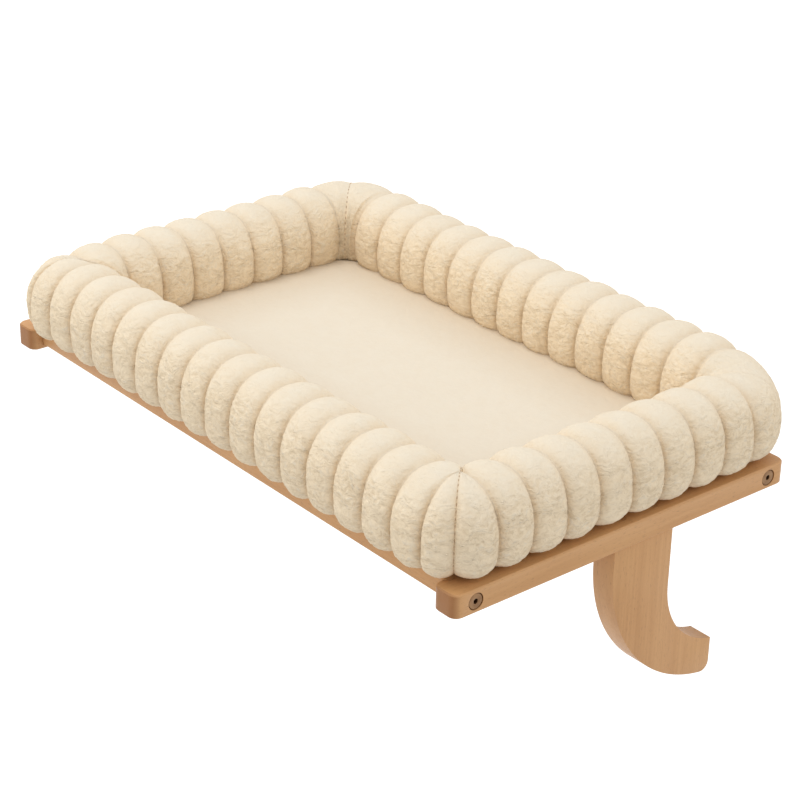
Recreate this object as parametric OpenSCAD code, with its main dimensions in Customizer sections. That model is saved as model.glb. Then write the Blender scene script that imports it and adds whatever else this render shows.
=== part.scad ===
// A padded window perch for a cat: a small beech frame that rests on a window sill, two hooked
// wooden legs that press on the wall below it, two sliding steel hooks that grip the far side of
// the sill, and a lift-off plush bed with a channelled bolster round a flat pad.
// Origin: the top front edge of the sill, half way along it. +X runs along the sill, +Y towards
// the window and +Z up. All lengths are in millimetres.

/* [Frame] */
// Overall length of the frame along the sill
frame_w = 604; // [520:1:700]
// Overall depth of the frame, room side to window side
frame_d = 350; // [310:1:420]
// Depth of the frame that stands out in front of the sill
front_reach = 224.5; // [190:0.5:260]
// Width of an end rail
end_rail_w = 26; // [22:0.5:34]
// Height of an end rail
end_rail_h = 20; // [18:0.5:28]
// Width of a front or rear rail
long_rail_w = 18; // [16:0.5:24]
// Height of a front or rear rail
long_rail_h = 16; // [14:0.5:18]
// How far a long rail stands back from the ends of the end rails
long_rail_inset = 11; // [9:0.5:20]
// Plan radius of the end rails' corners
rail_corner_r = 8; // [4:0.5:12]
// Eased edge on the rails and legs
edge_ease = 1.2; // [0.5:0.1:2]
// Depth of the housing that takes a long rail's end
housing_depth = 4; // [2:0.5:6]
// Clearance round a wooden part in its housing
wood_gap = 0.1; // [0.05:0.05:0.3]

/* [Frame bolts] */
// Diameter of a frame bolt's shank
bolt_d = 6; // [5:0.5:8]
// Diameter of a frame bolt's flat head
bolt_head_d = 13; // [11:0.5:15]
// Thickness of a frame bolt's head
bolt_head_t = 2.2; // [1.5:0.1:3]
// Length of a frame bolt under its head
bolt_len = 50; // [44:1:60]
// Hexagon socket across its flats
bolt_socket = 4; // [3:0.5:5]
// Diameter of a barrel nut
nut_d = 10; // [8:0.5:12]
// Length of a barrel nut
nut_len = 9; // [8:0.5:12]

/* [Legs] */
// Thickness of a leg
leg_t = 22; // [18:0.5:26]
// Length of a leg where it meets the end rail
leg_len = 62.5; // [50:0.5:80]
// Radius of the leg's long outer curve
leg_outer_r = 133; // [115:1:150]
// Radius of the curve inside the crook
leg_inner_r = 70; // [60:1:80]
// Straight part of the leg's front edge
leg_front_straight = 20; // [12:1:30]
// Straight part of the leg's edge on the sill
leg_sill_straight = 52.5; // [45:0.5:60]
// Reach of the toe under the sill
toe_reach = 56; // [45:0.5:62]
// Radius of the toe's lower corner
toe_corner_r = 8; // [4:0.5:10]
// Diameter of a leg screw
leg_screw_d = 5; // [4:0.5:6]
// Length of a leg screw
leg_screw_len = 62; // [50:1:75]
// Diameter of the dowel in a leg
leg_dowel_d = 8; // [6:0.5:10]
// Length of the dowel in a leg
leg_dowel_len = 30; // [24:1:36]
// Diameter of a toe pad
toe_pad_d = 18; // [14:0.5:20]
// Thickness of a toe pad
toe_pad_t = 4; // [3:0.5:5]
// How far a toe pad stands proud
toe_pad_proud = 1; // [0.5:0.25:2]

/* [Base] */
// Width of a bearer under the base panel
bearer_w = 48; // [44:1:60]
// Thickness of a bearer
bearer_t = 8; // [7:0.5:9]
// How far a bearer's end is let into a long rail
bearer_seat = 6; // [5:0.5:7]
// Distance of an outer bearer's middle from the end rail's inner face
bearer_setback = 56; // [54:1:80]
// Thickness of the plywood base panel
panel_t = 4; // [3:0.5:5]
// Clearance round the base panel
panel_gap = 0.5; // [0.3:0.1:1]
// Diameter of a small wood screw
screw_d = 3; // [2.5:0.25:3.5]
// Length of a panel screw
panel_screw_len = 9; // [8:0.5:10]
// Length of a bearer screw
bearer_screw_len = 13; // [12:0.5:14]
// Width of a sill pad
sill_pad_w = 18; // [12:0.5:20]
// Thickness of a sill pad
sill_pad_t = 1.5; // [1:0.1:2]
// How far a sill pad stands proud
sill_pad_proud = 0.5; // [0.3:0.1:0.8]

/* [Sill hooks] */
// Width of a hook plate
hook_w = 25; // [20:0.5:28]
// Thickness of a hook plate
hook_t = 2.5; // [2:0.1:3]
// Depth of the groove that guides a hook plate
groove_depth = 1.5; // [1:0.1:2]
// Travel of a hook plate
hook_travel = 70; // [50:1:75]
// Drop of the hook below the sill's surface
hook_drop = 22; // [15:0.5:28]
// Distance of the clamp knob in front of the sill
knob_setback = 40; // [34:1:50]
// Diameter of the clamp stud
stud_d = 6; // [5:0.5:8]
// Clearance between sliding steel faces
slide_gap = 0.1; // [0.05:0.05:0.2]
// Clearance between a thread and its nut, on the radius
thread_gap = 0.05; // [0.03:0.01:0.1]
// Diameter of the knob
knob_d = 28; // [24:1:32]
// Height of the knob's grip
knob_h = 12; // [9:0.5:14]
// Diameter of the clamp washer
washer_d = 18; // [14:0.5:20]
// Thickness of the washer and of the guide strap
strap_t = 1.2; // [1:0.1:1.4]
// Length of the guide strap along the hook plate
strap_len = 14; // [12:0.5:18]
// Thickness of the rubber on a hook
hook_pad_t = 2; // [1:0.25:3]

/* [Bed] */
// Length of the bolster's rectangle along the sill, over its channels
bed_w = 595; // [500:1:640]
// Depth of the bolster's rectangle, over its channels
bed_d = 388; // [330:1:420]
// How far the bed lies to the right of the frame's middle
bed_shift_x = 7; // [-10:0.5:10]
// How far the bed lies behind the frame's middle
bed_shift_y = 12.5; // [0:0.5:25]
// Width of the bolster at a channel
tube_w = 68; // [60:1:76]
// Height of the bolster at a channel, above its widest level
tube_rise = 42; // [34:0.5:46]
// Height of the bolster's widest level above the frame
tube_mid = 30; // [24:0.5:34]
// How far a lobe swells past its channels
lobe_swell = 4; // [2:0.25:6]
// Lobes between the corners of the front bolster
front_lobes = 16; // [14:1:18]
// Lobes between the corners of the rear bolster
rear_lobes = 13; // [12:1:16]
// Lobes between the corners of a side bolster
side_lobes = 8; // [7:1:9]
// Share of the front bolster's length that its lobes take
front_lobe_share = 0.898; // [0.85:0.005:0.91]
// Share of the rear bolster's length that its lobes take
rear_lobe_share = 0.73; // [0.7:0.005:0.85]
// Share of a side bolster's length that its lobes take
side_lobe_share = 0.689; // [0.65:0.005:0.75]
// Radius on which the bolster turns its near right corner
near_turn = 44.5; // [36:0.5:60]
// Radius on which the bolster turns its near left corner
left_turn = 35; // [30:0.5:60]
// Radius on which the bolster turns its two corners by the window
rear_turn = 76; // [60:1:80]
// Shift of the front lobes to the left, as a share of the length
front_shift_share = 0.012; // [0:0.001:0.02]
// Shift of the side lobes to the front, as a share of the depth
side_shift_share = 0.034; // [0:0.001:0.05]
// Clearance of the soft parts from what is round them
soft_gap = 0.3; // [0.2:0.1:0.6]
// Thickness of the pad at its edge
pad_edge_t = 3; // [2:0.25:5]
// Rise of the pad's crown above its edge
pad_crown = 7; // [3:0.5:12]
// Thickness of the bed's woven base
base_cloth_t = 2; // [1:0.1:2]
// Width of a hook-and-loop strip
grip_w = 25; // [20:1:38]
// Length of a hook-and-loop strip
grip_len = 200; // [150:5:240]
// Thickness of one half of a hook-and-loop strip
grip_t = 1; // [0.8:0.1:1.5]

/* [Hidden] */
front_y = -front_reach;
rear_y = frame_d-front_reach;
mid_y = (front_y+rear_y)/2;
rail_in_x = frame_w/2-end_rail_w;
bearer_x = rail_in_x-bearer_setback;
long_z = end_rail_h-long_rail_h;
long_len = 2*(rail_in_x+housing_depth);
front_rail_y = front_y+long_rail_inset;
front_in_y = front_rail_y+long_rail_w;
rear_rail_y = rear_y-long_rail_inset;
rear_in_y = rear_rail_y-long_rail_w;
front_bolt_y = front_rail_y+long_rail_w/2;
rear_bolt_y = rear_rail_y-long_rail_w/2;
bolt_z = end_rail_h/2;
bolt_seat_x = frame_w/2-bolt_head_t-edge_ease/4;
bolt_end_x = bolt_seat_x-bolt_len;
bolt_hole_r = bolt_d/2+wood_gap;
bolt_recess_r = bolt_head_d*0.54;
nut_x = bolt_end_x+nut_d*0.7;
nut_z = bolt_z-nut_len/2;
bearer_z = long_z;
panel_z = bearer_z+bearer_t;
panel_top = panel_z+panel_t;
bearer_y0 = front_in_y-bearer_seat;
bearer_y1 = rear_in_y+bearer_seat;
screw_x = bearer_w/2-screw_d*2;
bearer_screw_y0 = bearer_y0+bearer_seat*0.65;
bearer_screw_y1 = bearer_y1-bearer_seat*0.65;
panel_screw_a = front_in_y+bearer_w/2;
panel_screw_b = -knob_setback*0.1;
panel_screw_c = rear_in_y-bearer_w/2;
groove_w = hook_w+4*slide_gap;
groove_z = bearer_z+groove_depth;
plate_top = groove_z-slide_gap;
plate_z = plate_top-hook_t;
hook_y1 = rear_rail_y+10*slide_gap+hook_t;
slot_r = stud_d/2+3*slide_gap;
knob_y = -knob_setback;
hook_y0 = knob_y-hook_travel-slot_r-hook_w/2;
strap_y1 = bearer_y1-2*bearer_seat;
strap_y0 = strap_y1-strap_len;
strap_flange_z = bearer_z-strap_t;
strap_top_z = plate_z-slide_gap;
strap_low_z = strap_top_z-strap_t;
strap_head_t = screw_d*0.6;
strap_screw_len = bearer_t+strap_t/2;
tee_flange_r = washer_d/2;
tee_barrel_r = stud_d*0.68;
tee_low_z = panel_z-bearer_t/2;
washer_top = plate_z-slide_gap/2;
washer_z = washer_top-strap_t;
washer_bore_r = stud_d/2+3*slide_gap;
boss_r = stud_d*1.2;
boss_h = knob_h/5;
knob_top = washer_z-slide_gap/2;
grip_top = knob_top-boss_h;
knob_low = grip_top-knob_h;
stud_low = grip_top-knob_h*0.6;
stud_top = panel_top-strap_t;
leg_x = frame_w/2-end_rail_w/2;
outer_c_y = leg_outer_r-leg_len;
inner_c_y = leg_inner_r;
toe_c_y = toe_reach-toe_corner_r;
toe_c_z = -leg_front_straight-sqrt(pow(leg_outer_r-toe_corner_r, 2)-pow(outer_c_y-toe_c_y, 2));
toe_tan_y = toe_c_y-toe_corner_r*(outer_c_y-toe_c_y)/(leg_outer_r-toe_corner_r);
toe_top_z = -leg_sill_straight-sqrt(pow(leg_inner_r, 2)-pow(inner_c_y-toe_reach, 2));
toe_low_z = -leg_front_straight-sqrt(pow(leg_outer_r, 2)-pow(outer_c_y-toe_reach, 2));
toe_pad_z = (toe_top_z+toe_low_z)/2;
leg_screw_a = -leg_len*0.78;
leg_screw_b = -leg_len*0.22;
sill_pad_y0 = rear_y*0.1;
sill_pad_y1 = rear_y*0.88;
tube_a = tube_w/2;
tube_z = end_rail_h+tube_mid;
tube_floor = end_rail_h+soft_gap;
tube_low = tube_z-tube_floor;
bed_x = bed_shift_x;
bed_y = mid_y+bed_shift_y;
loop_z = panel_top+grip_t;
cloth_z = loop_z+grip_t;
pad_z = end_rail_h+soft_gap;
pad_half_x = bed_w/2-tube_w+tube_w/12;
pad_half_y = bed_d/2-tube_w+tube_w/12;
cloth_gap = 4*panel_gap;
grip_x = bearer_x/2;
squeeze = tube_w*0.22;
seam_gap = soft_gap*0.7;
SIDES = 14;
PAD_SIDES = 48;

// Sub-part to show, or all of them

// Shared shapes come first, then the frame, the legs, the base, the sill hooks and the bed.

// The same shape on the right of the frame, and mirrored on the left if side is -1.
module on_side(side) {
    if (side > 0)
        children();
    else
        mirror([1, 0, 0]) children();
}

module both_sides() {
    children();
    mirror([1, 0, 0]) children();
}

// A block given by its low and high corners.
module block(low, high) {
    translate(low) cube(high-low);
}

// A bar with eased long edges and rounded corners in plan, centred in X and Y.
module eased_bar(sx, sy, sz, r, e) {
    translate([0, sy/2-r, 0])
        rotate([90, 0, 0])
            linear_extrude(height=sy-2*r)
                polygon([[-sx/2+e, 0], [sx/2-e, 0], [sx/2, e], [sx/2, sz-e], [sx/2-e, sz],
                    [-sx/2+e, sz], [-sx/2, sz-e], [-sx/2, e]]);
    translate([-sx/2+r, 0, 0])
        rotate([90, 0, 90])
            linear_extrude(height=sx-2*r)
                polygon([[-sy/2+e, 0], [sy/2-e, 0], [sy/2, e], [sy/2, sz-e], [sy/2-e, sz],
                    [-sy/2+e, sz], [-sy/2, sz-e], [-sy/2, e]]);
    for (px = [-sx/2+r, sx/2-r])
        for (py = [-sy/2+r, sy/2-r])
            translate([px, py, 0]) {
                cylinder(r1=r-e, r2=r, h=e);
                translate([0, 0, e]) cylinder(r=r, h=sz-2*e);
                translate([0, 0, sz-e]) cylinder(r1=r, r2=r-e, h=e);
            }
}

// A bar along X with eased long edges; its low corner is at the origin.
module eased_beam(len, wy, hz, e) {
    rotate([90, 0, 90])
        linear_extrude(height=len)
            polygon([[e, 0], [wy-e, 0], [wy, e], [wy, hz-e], [wy-e, hz], [e, hz], [0, hz-e], [0, e]]);
}

// A countersunk wood screw with a hexagon socket. Its head is flush with z = 0 and it points down.
module sunk_screw(d, len) {
    difference() {
        union() {
            translate([0, 0, -d/2]) cylinder(r1=d/2, r2=d, h=d/2);
            translate([0, 0, d/2-len]) cylinder(r=d/2, h=len-d);
            translate([0, 0, -len]) cylinder(r1=d/8, r2=d/2, h=d/2);
        }
        translate([0, 0, -d*0.45]) cylinder(r=d*0.42, h=d, $fn=6);
    }
}

// The hole that such a screw fills; its countersink touches the screw's head.
module sunk_hole(d, len) {
    translate([0, 0, -d/2]) cylinder(r1=d/2, r2=d, h=d/2);
    cylinder(r=d, h=d);
    translate([0, 0, -len-wood_gap]) cylinder(r=d/2+wood_gap, h=len);
}

module end_rail(side) {
    color([0.86, 0.70, 0.49])
        on_side(side)
            difference() {
                translate([leg_x, mid_y, 0])
                    eased_bar(end_rail_w, frame_d, end_rail_h, rail_corner_r, edge_ease);
                block([0, front_rail_y-wood_gap, long_z-wood_gap],
                    [rail_in_x+housing_depth, front_in_y+wood_gap, 2*end_rail_h]);
                block([0, rear_in_y-wood_gap, long_z-wood_gap],
                    [rail_in_x+housing_depth, rear_rail_y+wood_gap, 2*end_rail_h]);
                for (by = [front_bolt_y, rear_bolt_y]) {
                    translate([rail_in_x, by, bolt_z])
                        rotate([0, 90, 0]) cylinder(r=bolt_hole_r, h=2*end_rail_w);
                    translate([bolt_seat_x, by, bolt_z])
                        rotate([0, 90, 0]) cylinder(r=bolt_recess_r, h=end_rail_w);
                }
                for (sy = [leg_screw_a, leg_screw_b])
                    translate([leg_x, sy, end_rail_h]) sunk_hole(leg_screw_d, leg_screw_len);
                translate([leg_x, -leg_len/2, 0])
                    cylinder(r=leg_dowel_d/2+wood_gap/2, h=leg_dowel_len/2+wood_gap);
                block([leg_x-sill_pad_w/2-wood_gap, sill_pad_y0-wood_gap, -end_rail_h],
                    [leg_x+sill_pad_w/2+wood_gap, sill_pad_y1+wood_gap, sill_pad_t-sill_pad_proud]);
            }
}

// Holes in a long rail for its bolts, barrel nuts and bearer screws, and the bearers' seats.
module long_rail_cuts(bolt_y, seat_y0, seat_y1, screw_y) {
    both_sides() {
        translate([bolt_end_x-bolt_d/2, bolt_y, bolt_z])
            rotate([0, 90, 0]) cylinder(r=bolt_hole_r, h=bolt_len+bolt_d);
        translate([nut_x, bolt_y, 0])
            cylinder(r=nut_d/2+wood_gap, h=nut_z+nut_len);
    }
    for (bx = [-bearer_x, 0, bearer_x]) {
        block([bx-bearer_w/2-wood_gap, seat_y0, 0], [bx+bearer_w/2+wood_gap, seat_y1, panel_z]);
        for (sx = [-screw_x, screw_x])
            translate([bx+sx, screw_y, long_z])
                cylinder(r=screw_d/2+wood_gap, h=bearer_screw_len+wood_gap);
    }
}

module front_rail() {
    color([0.84, 0.67, 0.45])
        difference() {
            translate([-long_len/2, front_rail_y, long_z])
                eased_beam(long_len, long_rail_w, long_rail_h, edge_ease);
            long_rail_cuts(front_bolt_y, bearer_y0, front_in_y+bearer_seat, bearer_screw_y0);
        }
}

module rear_rail() {
    color([0.84, 0.67, 0.45])
        difference() {
            translate([-long_len/2, rear_in_y, long_z])
                eased_beam(long_len, long_rail_w, long_rail_h, edge_ease);
            long_rail_cuts(rear_bolt_y, rear_in_y-bearer_seat, bearer_y1, bearer_screw_y1);
            for (bx = [-bearer_x, bearer_x])
                block([bx-groove_w/2, rear_in_y-long_rail_w, 0],
                    [bx+groove_w/2, rear_rail_y+long_rail_w, groove_z]);
        }
}

module frame_bolts() {
    color([0.72, 0.56, 0.30])
        both_sides()
            for (by = [front_bolt_y, rear_bolt_y])
                translate([bolt_seat_x, by, bolt_z])
                    rotate([0, 90, 0])
                        difference() {
                            union() {
                                cylinder(r=bolt_head_d/2, h=bolt_head_t*0.8);
                                translate([0, 0, bolt_head_t*0.8])
                                    cylinder(r1=bolt_head_d/2, r2=bolt_head_d/2-bolt_head_t/5,
                                        h=bolt_head_t/5);
                                translate([0, 0, -bolt_len+bolt_d/4]) cylinder(r=bolt_d/2, h=bolt_len);
                                translate([0, 0, -bolt_len])
                                    cylinder(r1=bolt_d/4, r2=bolt_d/2, h=bolt_d/4);
                            }
                            translate([0, 0, -bolt_socket/2])
                                cylinder(r=bolt_socket/2/cos(30), h=bolt_len, $fn=6);
                        }
}

module barrel_nuts() {
    color([0.70, 0.70, 0.68])
        both_sides()
            for (by = [front_bolt_y, rear_bolt_y])
                translate([nut_x, by, nut_z])
                    difference() {
                        cylinder(r=nut_d/2, h=nut_len);
                        translate([-nut_d, 0, bolt_z-nut_z])
                            rotate([0, 90, 0]) cylinder(r=bolt_d/2+thread_gap, h=2*nut_d);
                        block([-nut_d, -nut_d/16, -nut_len], [nut_d, nut_d/16, nut_len/10]);
                    }
}

module leg(side) {
    color([0.88, 0.73, 0.52])
        on_side(side)
            difference() {
                translate([leg_x-leg_t/2, 0, 0])
                    difference() {
                        union() {
                            block([0, -leg_len, -leg_front_straight], [leg_t, 0, 0]);
                            difference() {
                                translate([0, outer_c_y, -leg_front_straight])
                                    rotate([0, 90, 0]) cylinder(r=leg_outer_r, h=leg_t);
                                block([-leg_t, -2*leg_len, -leg_front_straight],
                                    [2*leg_t, 2*leg_outer_r, leg_outer_r]);
                                block([-leg_t, toe_reach, -2*leg_outer_r],
                                    [2*leg_t, 3*leg_outer_r, leg_outer_r]);
                            }
                        }
                        translate([-leg_t, inner_c_y, -leg_sill_straight])
                            rotate([0, 90, 0]) cylinder(r=leg_inner_r, h=3*leg_t);
                        block([-leg_t, 0, -leg_sill_straight], [2*leg_t, leg_outer_r, leg_outer_r]);
                        difference() {
                            block([-leg_t, toe_tan_y, -2*leg_outer_r], [2*leg_t, leg_outer_r, toe_c_z]);
                            translate([-2*leg_t, toe_c_y, toe_c_z])
                                rotate([0, 90, 0]) cylinder(r=toe_corner_r, h=5*leg_t);
                        }
                    }
                for (sy = [leg_screw_a, leg_screw_b])
                    translate([leg_x, sy, end_rail_h]) sunk_hole(leg_screw_d, leg_screw_len);
                translate([leg_x, -leg_len/2, -leg_dowel_len/2])
                    cylinder(r=leg_dowel_d/2+wood_gap/2, h=leg_dowel_len);
                translate([leg_x, toe_reach-toe_pad_t+toe_pad_proud, toe_pad_z])
                    rotate([-90, 0, 0]) cylinder(r=toe_pad_d/2+wood_gap, h=toe_pad_t);
            }
}

module leg_screws() {
    color([0.74, 0.74, 0.72])
        both_sides()
            for (sy = [leg_screw_a, leg_screw_b])
                translate([leg_x, sy, end_rail_h]) sunk_screw(leg_screw_d, leg_screw_len);
}

module leg_dowels() {
    color([0.80, 0.62, 0.40])
        both_sides()
            translate([leg_x, -leg_len/2, -leg_dowel_len/2])
                cylinder(r=leg_dowel_d/2, h=leg_dowel_len);
}

module toe_pads() {
    color([0.16, 0.16, 0.16])
        both_sides()
            translate([leg_x, toe_reach-toe_pad_t+toe_pad_proud, toe_pad_z])
                rotate([-90, 0, 0]) cylinder(r=toe_pad_d/2, h=toe_pad_t);
}

module sill_pads() {
    color([0.16, 0.16, 0.16])
        both_sides()
            block([leg_x-sill_pad_w/2, sill_pad_y0, -sill_pad_proud],
                [leg_x+sill_pad_w/2, sill_pad_y1, sill_pad_t-sill_pad_proud]);
}

// A bearer; the outer two are grooved below for the hook plates.
module bearer(bx, grooved) {
    color([0.82, 0.65, 0.43])
        difference() {
            block([bx-bearer_w/2, bearer_y0, bearer_z], [bx+bearer_w/2, bearer_y1, panel_z]);
            for (sx = [-screw_x, screw_x])
                for (sy = [bearer_screw_y0, bearer_screw_y1])
                    translate([bx+sx, sy, bearer_z])
                        mirror([0, 0, 1]) sunk_hole(screw_d, bearer_screw_len);
            for (sy = [panel_screw_a, panel_screw_b, panel_screw_c])
                translate([bx, sy, panel_top]) sunk_hole(screw_d, panel_screw_len);
            if (grooved) {
                block([bx-groove_w/2, 2*front_y, 0], [bx+groove_w/2, 2*rear_y, groove_z]);
                translate([bx, knob_y, 0]) cylinder(r=tee_barrel_r+wood_gap, h=2*panel_z);
                for (sx = [-screw_x, screw_x])
                    translate([bx+sx, (strap_y0+strap_y1)/2, 0])
                        cylinder(r=screw_d/2+wood_gap, h=strap_flange_z+strap_screw_len+wood_gap);
            }
        }
}

module bearer_screws() {
    color([0.74, 0.74, 0.72])
        for (bx = [-bearer_x, 0, bearer_x])
            for (sx = [-screw_x, screw_x])
                for (sy = [bearer_screw_y0, bearer_screw_y1])
                    translate([bx+sx, sy, bearer_z])
                        mirror([0, 0, 1]) sunk_screw(screw_d, bearer_screw_len);
}

module base_panel() {
    color([0.85, 0.72, 0.53])
        difference() {
            block([-rail_in_x+panel_gap, front_in_y+panel_gap, panel_z],
                [rail_in_x-panel_gap, rear_in_y-panel_gap, panel_top]);
            for (bx = [-bearer_x, 0, bearer_x])
                for (sy = [panel_screw_a, panel_screw_b, panel_screw_c])
                    translate([bx, sy, panel_top]) sunk_hole(screw_d, panel_screw_len);
            both_sides() {
                translate([bearer_x, knob_y, 0]) cylinder(r=tee_barrel_r+wood_gap, h=2*panel_top);
                translate([bearer_x, knob_y, stud_top]) cylinder(r=tee_flange_r+wood_gap, h=panel_top);
            }
        }
}

module panel_screws() {
    color([0.74, 0.74, 0.72])
        for (bx = [-bearer_x, 0, bearer_x])
            for (sy = [panel_screw_a, panel_screw_b, panel_screw_c])
                translate([bx, sy, panel_top]) sunk_screw(screw_d, panel_screw_len);
}

module tee_nuts() {
    color([0.70, 0.70, 0.68])
        both_sides()
            translate([bearer_x, knob_y, 0])
                difference() {
                    union() {
                        translate([0, 0, stud_top]) cylinder(r=tee_flange_r, h=strap_t);
                        translate([0, 0, tee_low_z]) cylinder(r=tee_barrel_r, h=stud_top-tee_low_z);
                    }
                    cylinder(r=stud_d/2+thread_gap, h=2*panel_top);
                }
}

module guide_straps() {
    color([0.66, 0.66, 0.64])
        both_sides()
            difference() {
                union() {
                    block([bearer_x-bearer_w/2, strap_y0, strap_flange_z],
                        [bearer_x-groove_w/2, strap_y1, bearer_z]);
                    block([bearer_x+groove_w/2, strap_y0, strap_flange_z],
                        [bearer_x+bearer_w/2, strap_y1, bearer_z]);
                    block([bearer_x-groove_w/2-strap_t, strap_y0, strap_low_z],
                        [bearer_x+groove_w/2+strap_t, strap_y1, strap_top_z]);
                    block([bearer_x-groove_w/2-strap_t, strap_y0, strap_low_z],
                        [bearer_x-groove_w/2, strap_y1, bearer_z]);
                    block([bearer_x+groove_w/2, strap_y0, strap_low_z],
                        [bearer_x+groove_w/2+strap_t, strap_y1, bearer_z]);
                }
                for (sx = [-screw_x, screw_x])
                    translate([bearer_x+sx, (strap_y0+strap_y1)/2, 0])
                        cylinder(r=screw_d/2+wood_gap, h=bearer_z*2);
            }
}

module strap_screws() {
    color([0.74, 0.74, 0.72])
        both_sides()
            for (sx = [-screw_x, screw_x])
                translate([bearer_x+sx, (strap_y0+strap_y1)/2, strap_flange_z])
                    difference() {
                        union() {
                            cylinder(r=screw_d/2, h=strap_screw_len-screw_d/2);
                            translate([0, 0, strap_screw_len-screw_d/2])
                                cylinder(r1=screw_d/2, r2=screw_d/8, h=screw_d/2);
                            translate([0, 0, -strap_head_t/2]) cylinder(r=screw_d, h=strap_head_t/2);
                            translate([0, 0, -strap_head_t])
                                cylinder(r1=screw_d*0.75, r2=screw_d, h=strap_head_t/2);
                        }
                        translate([0, 0, -2*strap_head_t])
                            cylinder(r=screw_d*0.42, h=strap_head_t*1.7, $fn=6);
                    }
}

module hook(side) {
    color([0.62, 0.62, 0.61])
        on_side(side)
            translate([bearer_x, 0, 0]) {
                difference() {
                    block([-hook_w/2, hook_y0, plate_z], [hook_w/2, hook_y1-hook_t, plate_top]);
                    block([-slot_r, knob_y-hook_travel, 0], [slot_r, knob_y, 2*plate_top]);
                    translate([0, knob_y, 0]) cylinder(r=slot_r, h=2*plate_top);
                    translate([0, knob_y-hook_travel, 0]) cylinder(r=slot_r, h=2*plate_top);
                }
                block([-hook_w/2, hook_y1-hook_t, -hook_drop], [hook_w/2, hook_y1, plate_z]);
                difference() {
                    translate([-hook_w/2, hook_y1-hook_t, plate_z])
                        rotate([0, 90, 0]) cylinder(r=hook_t, h=hook_w);
                    block([-hook_w, -2*frame_d, -frame_d], [hook_w, hook_y1-hook_t, frame_d]);
                    block([-hook_w, -2*frame_d, -frame_d], [hook_w, 2*frame_d, plate_z]);
                }
            }
}

module hook_pad(side) {
    color([0.16, 0.16, 0.16])
        on_side(side)
            block([bearer_x-hook_w/2+hook_pad_t/2, hook_y1-hook_t-hook_pad_t, -hook_drop+hook_pad_t],
                [bearer_x+hook_w/2-hook_pad_t/2, hook_y1-hook_t, -hook_pad_t]);
}

module washer(side) {
    color([0.74, 0.74, 0.72])
        on_side(side)
            translate([bearer_x, knob_y, washer_z])
                difference() {
                    cylinder(r=washer_d/2, h=strap_t);
                    translate([0, 0, -strap_t]) cylinder(r=washer_bore_r, h=3*strap_t);
                }
}

module knob(side) {
    color([0.13, 0.13, 0.13])
        on_side(side)
            translate([bearer_x, knob_y, 0])
                difference() {
                    union() {
                        translate([0, 0, grip_top]) cylinder(r=boss_r, h=boss_h);
                        translate([0, 0, knob_low+boss_h/2])
                            cylinder(r=knob_d/2, h=knob_h-boss_h);
                        translate([0, 0, knob_low])
                            cylinder(r1=knob_d/2-boss_h/2, r2=knob_d/2, h=boss_h/2);
                        translate([0, 0, grip_top-boss_h/2])
                            cylinder(r1=knob_d/2, r2=knob_d/2-boss_h/2, h=boss_h/2);
                    }
                    for (k = [0:5])
                        rotate([0, 0, 60*k])
                            translate([knob_d*0.59, 0, knob_low-knob_h])
                                cylinder(r=knob_d*0.17, h=3*knob_h);
                    translate([0, 0, stud_low]) cylinder(r=stud_d/2, h=2*knob_h);
                }
}

module stud(side) {
    color([0.74, 0.74, 0.72])
        on_side(side)
            translate([bearer_x, knob_y, stud_low])
                cylinder(r=stud_d/2, h=stud_top-stud_low);
}

module grip_strips() {
    color([0.20, 0.20, 0.20])
        both_sides()
            block([grip_x-grip_w/2, mid_y-grip_len/2, panel_top],
                [grip_x+grip_w/2, mid_y+grip_len/2, loop_z]);
}

module loop_strips() {
    color([0.24, 0.24, 0.24])
        both_sides()
            block([grip_x-grip_w/2, mid_y-grip_len/2, loop_z],
                [grip_x+grip_w/2, mid_y+grip_len/2, cloth_z]);
}

module bed_base() {
    color([0.80, 0.74, 0.64])
        block([-rail_in_x+cloth_gap, front_in_y+cloth_gap, cloth_z],
            [rail_in_x-cloth_gap, rear_in_y-cloth_gap, cloth_z+base_cloth_t]);
}

// A signed power, for rounded-box outlines.
function spow(v, e) = v < 0 ? -pow(-v, e) : pow(v, e);

// The pad is built from rings: each is [share of the half sizes, height].
pad_top = [for (i = [1:8]) [i/8*0.97, pad_z+pad_edge_t+pad_crown*(1-pow(i/8, 3))]];
pad_side = [[1, pad_z+pad_edge_t*0.55], [0.99, pad_z+pad_edge_t*0.2], [0.96, pad_z]];
pad_rings = concat(pad_top, pad_side);
pad_points = concat(
    [[bed_x, bed_y, pad_z+pad_edge_t+pad_crown]],
    [for (ring = pad_rings) for (j = [0:PAD_SIDES-1])
        [bed_x+pad_half_x*ring[0]*spow(cos(360*j/PAD_SIDES), 0.38),
         bed_y+pad_half_y*ring[0]*spow(sin(360*j/PAD_SIDES), 0.38), ring[1]]],
    [[bed_x, bed_y, pad_z]]);
pad_last = 1+len(pad_rings)*PAD_SIDES;
pad_faces = concat(
    [for (j = [0:PAD_SIDES-1]) [0, 1+(j+1)%PAD_SIDES, 1+j]],
    [for (i = [0:len(pad_rings)-2]) for (j = [0:PAD_SIDES-1])
        [1+i*PAD_SIDES+j, 1+i*PAD_SIDES+(j+1)%PAD_SIDES, 1+(i+1)*PAD_SIDES+j]],
    [for (i = [0:len(pad_rings)-2]) for (j = [0:PAD_SIDES-1])
        [1+i*PAD_SIDES+(j+1)%PAD_SIDES, 1+(i+1)*PAD_SIDES+(j+1)%PAD_SIDES, 1+(i+1)*PAD_SIDES+j]],
    [for (j = [0:PAD_SIDES-1])
        [pad_last, 1+(len(pad_rings)-1)*PAD_SIDES+j, 1+(len(pad_rings)-1)*PAD_SIDES+(j+1)%PAD_SIDES]]);

module bed_pad() {
    color([0.95, 0.91, 0.84]) polyhedron(points=pad_points, faces=pad_faces);
}

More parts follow.
